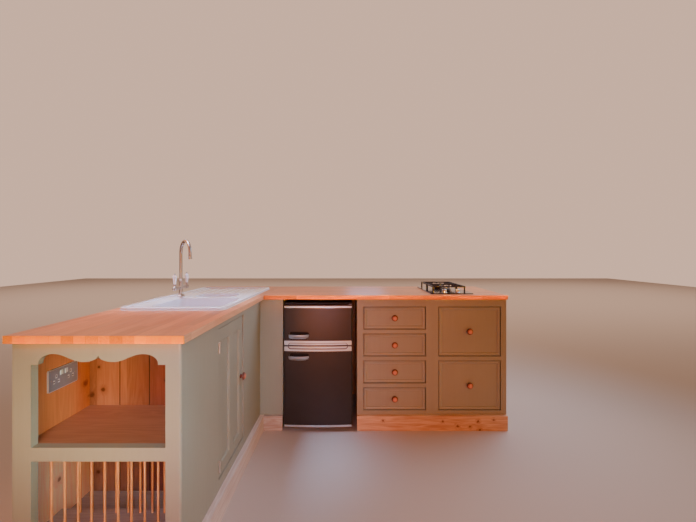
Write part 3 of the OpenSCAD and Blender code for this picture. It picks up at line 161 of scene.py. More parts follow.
# Outlines of parts that follow another outline, as (inset from it, height or depth)
BURNER_CAP = ((0.0075, 0.0142), (0.0060, 0.0150), (0.0060, 0.0188), (0.0080, 0.0204), (0.0130, 0.0212))
SEALANT = ((0.0, 0.0002), (-SEALANT_W, 0.0002), (-SEALANT_W * 0.75, 0.0012), (-0.0003, 0.0032))
GASKET = ((0.007, 0.0), (0.007, 0.0035), (0.010, 0.0045), (0.010, 0.0060), (0.007, 0.0070), (0.007, 0.0088),
          (0.021, 0.0088), (0.021, 0.0))

# How fast the figure of timber and paint changes, per metre: of timber along the grain and across it twice,
# of paint along X, Y and Z. RINGS sets how many growth rings the broad grain makes.
BROAD_GRAIN = (1.3, 16.0, 16.0)
FINE_GRAIN = (7.0, 260.0, 260.0)
TIMBER_CLOUDS = (2.0, 5.0, 5.0)
RINGS = 58.0
BRUSH_STROKES = (300.0, 300.0, 10.0)
GRAIN_UNDER_PAINT = (60.0, 60.0, 2.0)

# Glued staves of the worktops, in metres, and their seams as shares of a stave's width and length
STAVE_W = 0.042
STAVE_L = 0.62
SEAM_STRENGTH = 0.5
SEAM_OF_WIDTH = 0.035
SEAM_OF_LENGTH = 0.0035


def make_camera():
    data = bpy.data.cameras.new("photo_camera")
    data.sensor_width = SENSOR_MM
    data.lens = FOCAL_PX / IMAGE_W_PX * SENSOR_MM
    data.shift_y = -HORIZON_ABOVE_MIDDLE_PX / IMAGE_W_PX
    data.clip_start = CLIP_NEAR
    data.clip_end = CLIP_FAR
    camera = bpy.data.objects.new("photo_camera", data)
    camera.location = EYE
    camera.rotation_euler = (math.radians(90), 0, 0)
    scene.collection.objects.link(camera)
    scene.camera = camera


# Shader building blocks
class Shader:
    """A material's node tree with short calls for the nodes that the materials use."""

    def __init__(self, name):
        self.material = bpy.data.materials.new(name)
        self.material.use_nodes = True
        self.tree = self.material.node_tree
        self.surface = self.tree.nodes["Principled BSDF"]
        self.object_coords = None

    def add(self, kind, inputs=None, **settings):
        node = self.tree.nodes.new(kind)
        for key, value in settings.items():
            setattr(node, key, value)
        for key, value in (inputs or {}).items():
            self.put(node.inputs[key], value)
        return node

    def put(self, socket, value):
        if isinstance(value, bpy.types.NodeSocket):
            self.tree.links.new(value, socket)
        else:
            socket.default_value = value

    def set(self, **values):
        """Inputs of the surface, by name with _ for each space."""
        for key, value in values.items():
            self.put(self.surface.inputs[key.replace("_", " ")], value)

    def math(self, operation, a, b=0.0):
        return self.add("ShaderNodeMath", {0: a, 1: b}, operation=operation).outputs[0]

    def both(self, a, b):
        return self.math("MULTIPLY", a, b)

    def either(self, a, b):
        return self.math("MAXIMUM", a, b)

    def coords(self):
        if self.object_coords is None:
            self.object_coords = self.add("ShaderNodeTexCoord").outputs["Object"]
        return self.object_coords

    def split(self, vector):
        node = self.add("ShaderNodeSeparateXYZ", {0: vector})
        return node.outputs[0], node.outputs[1], node.outputs[2]

    def place(self):
        """The object coordinates as x, y and z, which are the frame's own."""
        return self.split(self.coords())

    def join(self, x, y, z):
        return self.add("ShaderNodeCombineXYZ", {0: x, 1: y, 2: z}).outputs[0]

    def scaled(self, vector, factors):
        node = self.add("ShaderNodeVectorMath", {0: vector, 1: factors}, operation="MULTIPLY")
        return node.outputs[0]

    def stretched(self, parts, factors):
        return self.join(*(self.math("MULTIPLY", part, factor) for part, factor in zip(parts, factors)))

    def noise(self, vector, scale=1.0, detail=4.0, roughness=0.5, distortion=0.0):
        node = self.add("ShaderNodeTexNoise", {"Vector": vector, "Scale": scale, "Detail": detail,
                                               "Roughness": roughness, "Distortion": distortion})
        return node.outputs["Fac"]

    def random(self, vector):
        node = self.add("ShaderNodeTexWhiteNoise", {"Vector": vector}, noise_dimensions="3D")
        return node.outputs["Value"]

    def ramp(self, factor, *stops):
        node = self.add("ShaderNodeValToRGB", {"Fac": factor})
        for mark, (place, colour) in zip(node.color_ramp.elements, stops):
            mark.position = place
            mark.color = (*colour, 1)
        return node.outputs["Color"]

    def mix(self, factor, a, b, blend="MIX"):
        node = self.add("ShaderNodeMix", data_type="RGBA", blend_type=blend)
        self.put(node.inputs[0], factor)
        self.put(node.inputs[6], a)
        self.put(node.inputs[7], (*b, 1) if isinstance(b, tuple) else b)
        return node.outputs[2]

    def shade(self, colour, factor):
        """The colour made darker or lighter by a factor."""
        return self.mix(1.0, colour, self.join(factor, factor, factor), "MULTIPLY")

    def tinted(self, colour, mask, factors):
        """The colour times a factor each for red, green and blue, where the mask is 1."""
        return self.mix(mask, colour, self.mix(1.0, colour, factors, "MULTIPLY"))

    def remap(self, value, low, high, to_low=0.0, to_high=1.0):
        node = self.add("ShaderNodeMapRange", {"Value": value, "From Min": low, "From Max": high,
                                               "To Min": to_low, "To Max": to_high})
        return node.outputs[0]

    def below(self, value, limit):
        return self.math("LESS_THAN", value, limit)

    def above(self, value, limit):
        return self.math("GREATER_THAN", value, limit)

    def inside(self, value, low, high):
        """1 where low < value < high."""
        return self.both(self.above(value, low), self.below(value, high))

    def away(self, value, middle):
        """The distance from the middle, on either side."""
        return self.math("ABSOLUTE", self.math("SUBTRACT", value, middle))

    def from_round_middle(self, a, b, middle, half, radius):
        """How far (a, b) is from the core of a rectangle with round corners: radius on its outline."""
        squares = []
        for value, centre, reach in zip((a, b), middle, half):
            out = self.math("MAXIMUM", self.math("SUBTRACT", self.away(value, centre), reach - radius), 0.0)
            squares.append(self.math("MULTIPLY", out, out))
        return self.math("SQRT", self.math("ADD", *squares))

    def bump(self, height, distance, strength):
        node = self.add("ShaderNodeBump", {"Height": height, "Distance": distance, "Strength": strength})
        self.put(self.surface.inputs["Normal"], node.outputs[0])


def linear(red, green, blue):
    """A colour that is read off as 0 to 255 on a screen, as the shader's linear values."""
    def one(value):
        value /= 255
        return value / 12.92 if value <= 0.04045 else ((value + 0.055) / 1.055) ** 2.4
    return (one(red), one(green), one(blue))


def dimmed(colour, factor):
    return tuple(part * factor for part in colour)


def times(colour, factors):
    return tuple(part * factor for part, factor in zip(colour, factors))


# Colours of paint and timber
PAINT = linear(158, 155, 136)
# The corner filler's paint is a greyer copy of the sage paint: painted cooler light, as falls on that
# corner
PAINT_CORNER_COOL_LIGHT = times(PAINT, (0.80, 0.98, 1.0))
OAK_LIGHT = linear(230, 147, 92)
OAK_DARK = linear(194, 102, 58)
PINE_LIGHT = linear(250, 157, 92)
PINE_DARK = linear(208, 111, 60)
# The niche's back boards: a darker copy of the lining's pine, painted shade for the shade at the back of
# the niche
SHADED_BACK_PINE_LIGHT = linear(176, 122, 90)
SHADED_BACK_PINE_DARK = linear(130, 78, 50)
PALE_LIGHT = linear(228, 190, 152)
PALE_DARK = linear(190, 140, 104)
# The side run's plinth and the corner plinth: greyer copies of the plinth pine, one paler and one darker,
# painted light and shade for how light falls on each
LEFT_PLINTH_LIGHT = linear(236, 221, 211)
LEFT_PLINTH_DARK = linear(196, 164, 147)
CORNER_PLINTH_LIGHT = linear(192, 180, 165)
CORNER_PLINTH_DARK = linear(160, 133, 113)
SHELF_LIGHT = linear(204, 146, 112)
SHELF_DARK = linear(160, 102, 72)
DOWEL_LIGHT = linear(236, 178, 122)
DOWEL_DARK = linear(190, 120, 68)
RACK_LIGHT = linear(196, 176, 170)
RACK_DARK = linear(150, 128, 122)
# Painted light and shade on the knobs: a lit front and a shaded rim
TURNED_LIT_FRONT = linear(222, 142, 112)
TURNED_SHADED_RIM = linear(104, 46, 28)
APPLIANCE_WHITE = (0.80, 0.80, 0.79)

# Factors for red, green and blue that set off parts of the timber
# Painted light on the worktops' edges: the side worktop's near end (its own end grain and painted light
# together), its long edge towards +X, and the back worktop's edge towards -Y
NEAR_END_PAINTED_LIGHT = (1.55, 1.32, 0.10)
SIDE_EDGE_PAINTED_LIGHT = (1.15, 1.85, 2.9)
BACK_EDGE_PAINTED_LIGHT = (1.27, 1.2, 0.5)
# Painted shadow of the right-hand stile on the niche's back boards
STILE_SHADOW_TINT = (0.56, 0.37, 0.45)
# Painted cooler light on the lining below the niche's shelf, on its side and its back boards
LOW_SIDE_BOARDS_COOL_LIGHT = (1.5, 2.9, 6.0)
LOW_BACK_BOARDS_COOL_LIGHT = (0.75, 0.95, 1.4)
WALL_FACE = (0.84, 1.45, 2.6)
KNOT_CORE = (0.42, 0.27, 0.24)

# Knots as (x or y, z, radius) on the face that they show on
SIDE_BOARD_KNOTS = ((-0.5185, 0.604, 0.016), (-0.66, 0.27, 0.012))
BACK_BOARD_KNOTS = ((-1.0955, 0.545, 0.014), (-1.0444, 0.567, 0.011), (-1.0638, 0.669, 0.007),
                    (-1.0684, 0.195, 0.010), (-0.906, 0.330, 0.008), (-0.760, 0.610, 0.009),
                    (-0.640, 0.250, 0.010))
BACK_PLINTH_KNOTS = ((0.2936, 0.067, 0.0073), (0.6892, 0.0617, 0.0085), (0.7902, 0.0311, 0.0098),
                     (0.8713, 0.0278, 0.0079), (0.9252, 0.0617, 0.0098), (0.9365, 0.0052, 0.0098),
                     (1.0296, 0.0723, 0.0073))
END_PLINTH_KNOTS = ((-1.02, 0.06, 0.0110), (-0.66, 0.035, 0.0098))


def knots_on_y(y, knots):
    """Knots on a face across Y, as (x, y, z, radius)."""
    return [(x, y, z, radius) for x, z, radius in knots]


def knots_on_x(x, knots):
    """Knots on a face across X, as (x, y, z, radius)."""
    return [(x, y, z, radius) for y, z, radius in knots]


LINING_KNOTS = knots_on_x(NICHE_SIDE_X, SIDE_BOARD_KNOTS) + knots_on_y(NICHE_BACK_Y, BACK_BOARD_KNOTS)
PLINTH_KNOTS = knots_on_y(BACK_PLINTH_Y, BACK_PLINTH_KNOTS) + knots_on_y(END_PLINTH_Y, END_PLINTH_KNOTS)


# Timber
def along(s, grain):
    """The object coordinates as (along the grain, across, across)."""
    x, y, z = s.place()
    return {"X": (x, y, z), "Y": (y, x, z), "Z": (z, x, y)}[grain]


def scattered_knots(length, width, radius, share):
    """Knots of about a radius, in a share of cells that are length long and width wide along the grain."""
    def masks(s, u, v, w):
        cell = (length, width, width * 3)
        sized = s.join(*(s.math("DIVIDE", part, size) for part, size in zip((u, v, w), cell)))
        cells = s.add("ShaderNodeTexVoronoi", {"Vector": sized, "Scale": 1.0})
        middle = cells.outputs["Position"]
        offset = s.add("ShaderNodeVectorMath", {0: sized, 1: middle}, operation="SUBTRACT").outputs[0]
        real = s.scaled(offset, (length * 0.75, width, width * 0.4))
        away = s.add("ShaderNodeVectorMath", {0: real}, operation="LENGTH").outputs["Value"]
        chance, growth = s.split(cells.outputs["Color"])[:2]
        chosen = s.below(chance, share)
        grown = s.math("MULTIPLY", s.remap(growth, 0.0, 1.0, 0.55, 1.1), radius)
        ratio = s.math("DIVIDE", away, grown)
        return s.both(s.remap(ratio, 1.0, 0.5), chosen), s.both(s.remap(ratio, 3.6, 0.4), chosen)
    return masks


def knots_at(places):
    """Knots at places, each (x, y, z, radius), with wobbly outlines."""
    def masks(s, u, v, w):
        wobble = s.remap(s.noise(s.coords(), 90.0, 2.0, 0.5), 0.3, 0.7, -0.25, 0.25)
        core = halo = 0.0
        for x, y, z, radius in places:
            away = s.add("ShaderNodeVectorMath", {0: s.coords(), 1: (x, y, z)}, operation="DISTANCE")
            ratio = s.math("ADD", s.math("DIVIDE", away.outputs["Value"], radius), wobble)
            core = s.either(core, s.remap(ratio, 1.1, 0.45))
            halo = s.either(halo, s.remap(ratio, 2.8, 0.5))
        return core, halo
    return masks


def worktop_edge_light(end_y, end_light_factors, side_x=None, side_light_factors=None):
    """Painted light on a worktop's edge towards -Y, each block still in its own tone, and perhaps on its
    edge towards +X.
    """
    def tint(s, colour, tone):
        x, y, z = s.place()
        # Painted light on the end, each block keeping its own tone
        end = s.shade(s.mix(1.0, colour, end_light_factors, "MULTIPLY"), s.remap(tone, 0.0, 1.0, 0.80, 1.12))
        colour = s.mix(s.below(y, end_y), colour, end)
        if side_light_factors:
            colour = s.tinted(colour, s.above(x, side_x), side_light_factors)
        return colour
    return tint


def side_boards_tint(low_light_factors):
    """Sets off the lining below the niche's shelf with painted cooler light, and its face against the wall.
    """
    def tint(s, colour, tone):
        x, y, z = s.place()
        # Painted cooler light below the shelf
        low = s.both(s.remap(z, *LOW_BOARDS_Z), s.above(x, BOARD_BACK_X))
        colour = s.tinted(colour, low, low_light_factors)
        return s.tinted(colour, s.below(x, BOARD_BACK_X), WALL_FACE)
    return tint


def back_boards_tint(low_light_factors, groove_shade_colour):
    """As the side boards, with a painted shadow of the stile as a darker stretch at the right, and painted
    shade in the grooves between the boards.
    """
    def tint(s, colour, tone):
        x, y, z = s.place()
        colour = s.tinted(colour, s.remap(x, *STILE_SHADOW_X), STILE_SHADOW_TINT)
        colour = side_boards_tint(low_light_factors)(s, colour, tone)
        # Painted shade: near black in the grooves between the boards
        groove = s.inside(y, NICHE_BACK_Y + GROOVE_SKIN, NICHE_BACK_Y + GROOVE_D)
        return s.mix(groove, colour, groove_shade_colour)
    return tint


def glued_blocks(s, u, v, width, length, seed):
    """A random tone for each glued block, and a mask of the glue lines between them."""
    row = s.math("FLOOR", s.math("DIVIDE", v, width))
    start = s.math("MULTIPLY", s.random(s.join(row, 3.0, seed + 1.0)), length)
    place = s.math("DIVIDE", s.math("ADD", u, start), length)
    tone = s.random(s.join(row, s.math("FLOOR", place), 7.0))
    across = s.math("FRACT", s.math("DIVIDE", v, width))
    end = s.math("FRACT", place)
    seam_v = s.math("MINIMUM", across, s.math("SUBTRACT", 1.0, across))
    seam_u = s.math("MINIMUM", end, s.math("SUBTRACT", 1.0, end))
    return tone, s.either(s.remap(seam_v, SEAM_OF_WIDTH, 0.0), s.remap(seam_u, SEAM_OF_LENGTH, 0.0))


def timber(name, grain, light, dark, stave=None, board=None, knots=None, tint=None, rough=0.45,
           contrast=1.0, sheen=0.5, seed=0.0):
    """Long-grained timber. stave is (width, length, spread of tones, strength of seams) of glued blocks,
    and board is (width, spread of tones) of plain boards. knots gives masks of knots and of the rings
    round them, and tint sets places apart."""
    s = Shader(name)
    u, v, w = along(s, grain)
    u = s.math("ADD", u, seed)
    tone = None
    across = v
    if stave:
        width, length, spread, seam_strength = stave
        tone, seams = glued_blocks(s, u, v, width, length, seed)
    elif board:
        width, spread = board
        tone = s.random(s.join(s.math("FLOOR", s.math("DIVIDE", v, width)), 5.0, seed))
    if tone:
        u = s.math("ADD", u, s.math("MULTIPLY", tone, 9.0))
        across = s.math("ADD", v, s.math("MULTIPLY", tone, 3.0))
    if knots:
        core, halo = knots(s, u, v, w)
        across = s.math("ADD", across, s.math("MULTIPLY", halo, 0.014))
    if tone:
        w = s.math("ADD", w, s.math("MULTIPLY", tone, 5.0))
    parts = (u, across, w)
    broad = s.noise(s.stretched(parts, BROAD_GRAIN), 1.0, 3.0, 0.5, 0.5)
    rings = s.math("SINE", s.math("MULTIPLY", broad, RINGS))
    fine = s.noise(s.stretched(parts, FINE_GRAIN), 1.0, 4.0, 0.6, 0.2)
    cloud = s.noise(s.stretched(parts, TIMBER_CLOUDS), 1.0, 2.0, 0.5)
    pores = s.math("MULTIPLY", s.math("SUBTRACT", fine, 0.5), 1.1 * contrast)
    clouds = s.math("MULTIPLY", s.math("SUBTRACT", cloud, 0.5), 0.9)
    level = s.math("ADD", s.math("MULTIPLY", rings, 0.13 * contrast), s.math("ADD", pores, clouds))
    colour = s.ramp(s.math("ADD", level, 0.5), (0.0, dark), (1.0, light))
    if tone:
        colour = s.shade(colour, s.remap(tone, 0.0, 1.0, 1.0 - spread, 1.0 + spread * 0.7))
    if stave:
        colour = s.mix(s.math("MULTIPLY", seams, seam_strength), colour, dimmed(dark, 0.55))
    if knots:
        colour = s.mix(s.math("MULTIPLY", halo, 0.5), colour, dimmed(dark, 0.75))
        colour = s.mix(core, colour, times(dark, KNOT_CORE))
    if tint:
        colour = tint(s, colour, tone)
    s.set(Base_Color=colour, Roughness=s.remap(fine, 0.3, 0.7, rough - 0.06, rough + 0.06),
          Specular_IOR_Level=sheen)
    s.bump(s.math("ADD", s.math("MULTIPLY", fine, 0.8), s.math("MULTIPLY", rings, 0.1)), 0.00018, 0.7)
    return s.material


def worktop_oak(name, grain, spread, seed, tint):
    return timber(name, grain, OAK_LIGHT, OAK_DARK, stave=(STAVE_W, STAVE_L, spread, SEAM_STRENGTH),
                  tint=tint, rough=0.36, contrast=0.7, sheen=0.3, seed=seed)


def turned(name, axis):
    """Turned, oiled wood with painted light and shade: paler on its front face, as where light falls,
    darker round its rim.
    """
    s = Shader(name)
    sides = s.split(s.add("ShaderNodeTexCoord").outputs["Normal"])
    facing = s.math("ABSOLUTE", sides["XYZ".index(axis)])
    fine = s.noise(s.stretched(s.place(), (90.0, 90.0, 420.0)), 1.0, 3.0, 0.6, 0.3)
    # Painted light and shade: paler where the face looks straight out, darker round the rim
    lit_and_shaded = s.math("ADD", facing, s.remap(fine, 0.3, 0.7, -0.06, 0.06))
    colour = s.ramp(s.remap(lit_and_shaded, 0.72, 1.0), (0.0, TURNED_SHADED_RIM), (1.0, TURNED_LIT_FRONT))
    s.set(Base_Color=colour, Roughness=s.remap(fine, 0.3, 0.7, 0.30, 0.40))
    s.bump(fine, 0.00008, 0.5)
    return s.material


# Paint, metal, ceramic, plastic and glass
def paint(name, colour):
    """Brushed satin paint on timber: faint strokes, soft clouding, grain that shows through, low scuffs."""
    s = Shader(name)
    x, y, z = s.place()
    strokes = s.noise(s.stretched((x, y, z), BRUSH_STROKES), 1.0, 4.0, 0.6)
    grain = s.noise(s.stretched((x, y, z), GRAIN_UNDER_PAINT), 1.0, 3.0, 0.55, 0.4)
    cloud = s.noise(s.coords(), 2.6, 4.0, 0.55)
    scuff = s.noise(s.coords(), 38.0, 5.0, 0.65)
    soft = s.math("ADD", s.math("MULTIPLY", cloud, 0.55), s.math("MULTIPLY", grain, 0.2))
    level = s.math("ADD", s.math("MULTIPLY", strokes, 0.25), soft)
    tone = s.ramp(s.remap(level, 0.33, 0.67), (0.0, dimmed(colour, 0.92)), (1.0, dimmed(colour, 1.06)))
    scuffed = s.both(s.remap(scuff, 0.60, 0.72), s.remap(z, 0.30, 0.0, 0.0, 0.5))
    s.set(Base_Color=s.mix(scuffed, tone, dimmed(colour, 0.80)),
          Roughness=s.remap(strokes, 0.3, 0.7, 0.41, 0.53))
    s.bump(s.math("ADD", strokes, s.math("MULTIPLY", grain, 0.8)), 0.00014, 0.6)
    return s.material


def bright_trim(name):
    """Satin silver trims of the fridge-freezer, with painted shade: a darker rim round the hollow across
    the two middle ones, fading a little towards its top, with a clear floor, a dark gap between the doors,
    and darker lip handles."""
    s = Shader(name)
    x, y, z = s.place()
    brush = s.noise(s.scaled(s.coords(), (16.0, 900.0, 900.0)), 1.0, 2.0, 0.5)
    smudge = s.noise(s.coords(), 22.0, 4.0, 0.6)
    away = s.from_round_middle(x, z, (FRIDGE_MID_X, DOOR_SPLIT), TRIM_HOLLOW_HALF, TRIM_HOLLOW_R)
    # Painted shade round the rim of the hollow, fading a little towards its top
    inner, outer = (TRIM_HOLLOW_R - part for part in TRIM_SHADE_RIM_IN)
    rim = s.both(s.remap(away, inner, outer), s.remap(away, TRIM_HOLLOW_R + TRIM_SHADE_RIM_OUT, TRIM_HOLLOW_R))
    fade_from, fade_to = (DOOR_SPLIT + up for up in TRIM_SHADE_FADE_UP)
    rim = s.both(rim, s.remap(z, fade_from, fade_to, 0.8, 1.0))
    # Painted shade in the gap between the doors
    seam = s.inside(z, DOOR_SPLIT + TRIM_GAP_SHADE_UP[0], DOOR_SPLIT + TRIM_GAP_SHADE_UP[1])
    silver = s.ramp(smudge, (0.25, (0.53, 0.67, 0.77)), (0.75, (0.60, 0.75, 0.86)))
    # Painted shade on the lip handles
    for low in HANDLE_LOWS:
        handle = s.both(s.inside(x, *HANDLE_X), s.inside(z, low + HANDLE_UP[0], low + HANDLE_UP[1]))
        silver = s.mix(handle, silver, s.shade(silver, 0.62))
    s.set(Base_Color=s.mix(s.either(rim, seam), silver, (0.10, 0.12, 0.20)), Metallic=0.65,
          Roughness=s.remap(smudge, 0.3, 0.7, 0.30, 0.40))
    s.bump(brush, 0.00003, 0.5)
    return s.material


def glazed(name, colour):
    """Glazed ceramic: glossy, faintly wavy, with a few water spots."""
    s = Shader(name)
    wave = s.noise(s.coords(), 14.0, 2.0, 0.4)
    spots = s.noise(s.coords(), 160.0, 3.0, 0.6)
    s.set(Base_Color=s.ramp(wave, (0.3, dimmed(colour, 0.975)), (0.7, colour)),
          Roughness=s.remap(spots, 0.55, 0.75, 0.09, 0.20), Coat_Weight=0.5, Coat_Roughness=0.04)
    s.bump(wave, 0.0006, 0.2)
    return s.material


def metal(name, colour, rough, brushed=None, depth=0.00003):
    """Metal, plain or brushed along an axis, with smudged gloss."""
    s = Shader(name)
    smudge = s.noise(s.coords(), 26.0, 4.0, 0.6)
    s.set(Base_Color=s.ramp(smudge, (0.25, dimmed(colour, 0.92)), (0.75, colour)), Metallic=1.0,
          Roughness=s.remap(smudge, 0.3, 0.7, rough * 0.8, rough * 1.25))
    if brushed:
        stretch = [20.0 if axis == brushed else 1500.0 for axis in "XYZ"]
        s.bump(s.noise(s.scaled(s.coords(), stretch), 1.0, 2.0, 0.5), depth, 0.6)
    else:
        s.bump(smudge, depth, 0.3)
    return s.material


def socket_metal(name):
    """A brushed steel plate: white insets round its pin slots, painted shade inside them, white rockers,
    painted highlight on its edge.
    """
    s = Shader(name)
    x, y, z = s.place()
    smudge = s.noise(s.coords(), 30.0, 4.0, 0.6)
    side = s.away(y, SOCKET_MIDDLE.y)
    up = s.math("SUBTRACT", z, SOCKET_MIDDLE.z)
    across = s.away(side, SOCKET_HALF_PITCH)
    pin_slots = s.both(s.inside(across, *PIN_SLOTS_SIDE), s.inside(up, *PIN_SLOTS_UP))
    earth_slot = s.both(s.below(across, EARTH_SLOT_HALF_W), s.inside(up, *EARTH_SLOT_UP))
    rockers = s.above(x, SOCKET_FACE_X + SOCKET_SKIN)
    inset = s.either(s.either(pin_slots, earth_slot), rockers)
    # Painted shade inside the slots
    hole_shade = s.both(s.inside(x, SOCKET_LOW.x + SOCKET_SKIN, SOCKET_FACE_X), s.below(side, SOCKET_HOLES_REACH))
    steel = s.ramp(smudge, (0.25, (0.30, 0.36, 0.43)), (0.75, (0.38, 0.45, 0.54)))
    # Painted highlight: a paler band round the plate's edge
    edge_highlight = s.either(s.above(side, SOCKET_HIGHLIGHT_SIDE), s.above(s.math("ABSOLUTE", up), SOCKET_HIGHLIGHT_UP))
    colour = s.mix(edge_highlight, steel, (0.80, 0.86, 0.95))
    colour = s.mix(inset, colour, (0.74, 0.78, 0.80))
    colour = s.mix(hole_shade, colour, (0.02, 0.02, 0.02))
    bare = s.math("SUBTRACT", 1.0, s.either(hole_shade, inset))
    s.set(Base_Color=colour, Metallic=s.math("MULTIPLY", bare, 0.6),
          Roughness=s.remap(smudge, 0.3, 0.7, 0.30, 0.42))
    s.bump(s.noise(s.scaled(s.coords(), (1500.0, 20.0, 1500.0)), 1.0, 2.0, 0.5), 0.00003, 0.6)
    return s.material


def coated(name, colour, rough, grain_scale, depth):
    """Enamel, moulded plastic, rubber or cast iron: a clouded, lightly pebbled coat."""
    s = Shader(name)
    pebble = s.noise(s.coords(), grain_scale, 3.0, 0.6)
    cloud = s.noise(s.coords(), 7.0, 3.0, 0.5)
    s.set(Base_Color=s.ramp(cloud, (0.3, dimmed(colour, 0.8)), (0.7, dimmed(colour, 1.15))),
          Roughness=s.remap(pebble, 0.3, 0.7, rough * 0.85, rough * 1.15))
    s.bump(pebble, depth, 0.5)
    return s.material


def lined(name, outside, rough, x_range, y_range, z_ranges, recesses=()):
    """A dark appliance shell, pale plastic inside the ranges, matt in its finger recesses, with painted
    shade there.
    """
    s = Shader(name)
    x, y, z = s.place()
    pebble = s.noise(s.coords(), 850.0, 3.0, 0.6)
    cloud = s.noise(s.coords(), 6.0, 3.0, 0.5)
    rows = 0.0
    for low, high in z_ranges:
        rows = s.either(rows, s.inside(z, low, high))
    mask = s.both(s.both(s.inside(x, *x_range), s.inside(y, *y_range)), rows)
    shell = s.ramp(cloud, (0.3, dimmed(outside, 0.8)), (0.7, dimmed(outside, 1.15)))
    lining = s.ramp(cloud, (0.3, dimmed(APPLIANCE_WHITE, 0.95)), (0.7, APPLIANCE_WHITE))
    gloss = s.remap(pebble, 0.3, 0.7, rough * 0.88, rough * 1.12)
    for middle in recesses:
        away = s.from_round_middle(x, z, middle, RECESS_HALF, RECESS_R)
        # Painted shade: near black in the finger recesses
        hole_shade = s.both(s.below(away, RECESS_R), s.below(y, y_range[0]))
        shell = s.mix(hole_shade, shell, (0.002, 0.002, 0.002))
        gloss = s.either(gloss, s.math("MULTIPLY", hole_shade, 0.8))
    s.set(Base_Color=s.mix(mask, shell, lining), Roughness=gloss)
    s.bump(pebble, 0.00005, 0.5)
    return s.material


def cabinet_black(name):
    x_range = (FRIDGE_LOW.x + LINER_WALL, FRIDGE_HIGH.x - LINER_WALL)
    y_range = (FRIDGE_LOW.y + LINER_FRONT, FRIDGE_HIGH.y - LINER_WALL)
    z_ranges = ((LINER_LOW, DOOR_SPLIT - DIVIDER_HALF),
                (DOOR_SPLIT + DIVIDER_HALF, FRIDGE_HIGH.z - LINER_WALL))
    return lined(name, (0.016, 0.014, 0.014), 0.52, x_range, y_range, z_ranges)


def door_black(name):
    x_range = (FRIDGE_LOW.x + DOOR_RIM, FRIDGE_HIGH.x - DOOR_RIM)
    z_ranges = ((FRIDGE_DOOR_LOW.z + DOOR_RIM, DOOR_SPLIT - DOOR_LINER_GAP),
                (DOOR_SPLIT + DOOR_LINER_GAP, FREEZER_DOOR_HIGH.z - DOOR_RIM))
    recesses = [(RECESS_MID_X, low + RECESS_UP) for low in HANDLE_LOWS]
    return lined(name, (0.020, 0.017, 0.017), 0.34, x_range, DOOR_LINER_Y, z_ranges, recesses)


def clear_glass(name):
    s = Shader(name)
    haze = s.noise(s.coords(), 9.0, 2.0, 0.5)
    s.set(Base_Color=(0.85, 0.95, 0.93, 1), Roughness=s.remap(haze, 0.3, 0.7, 0.02, 0.06),
          Transmission_Weight=0.9, IOR=1.5)
    return s.material


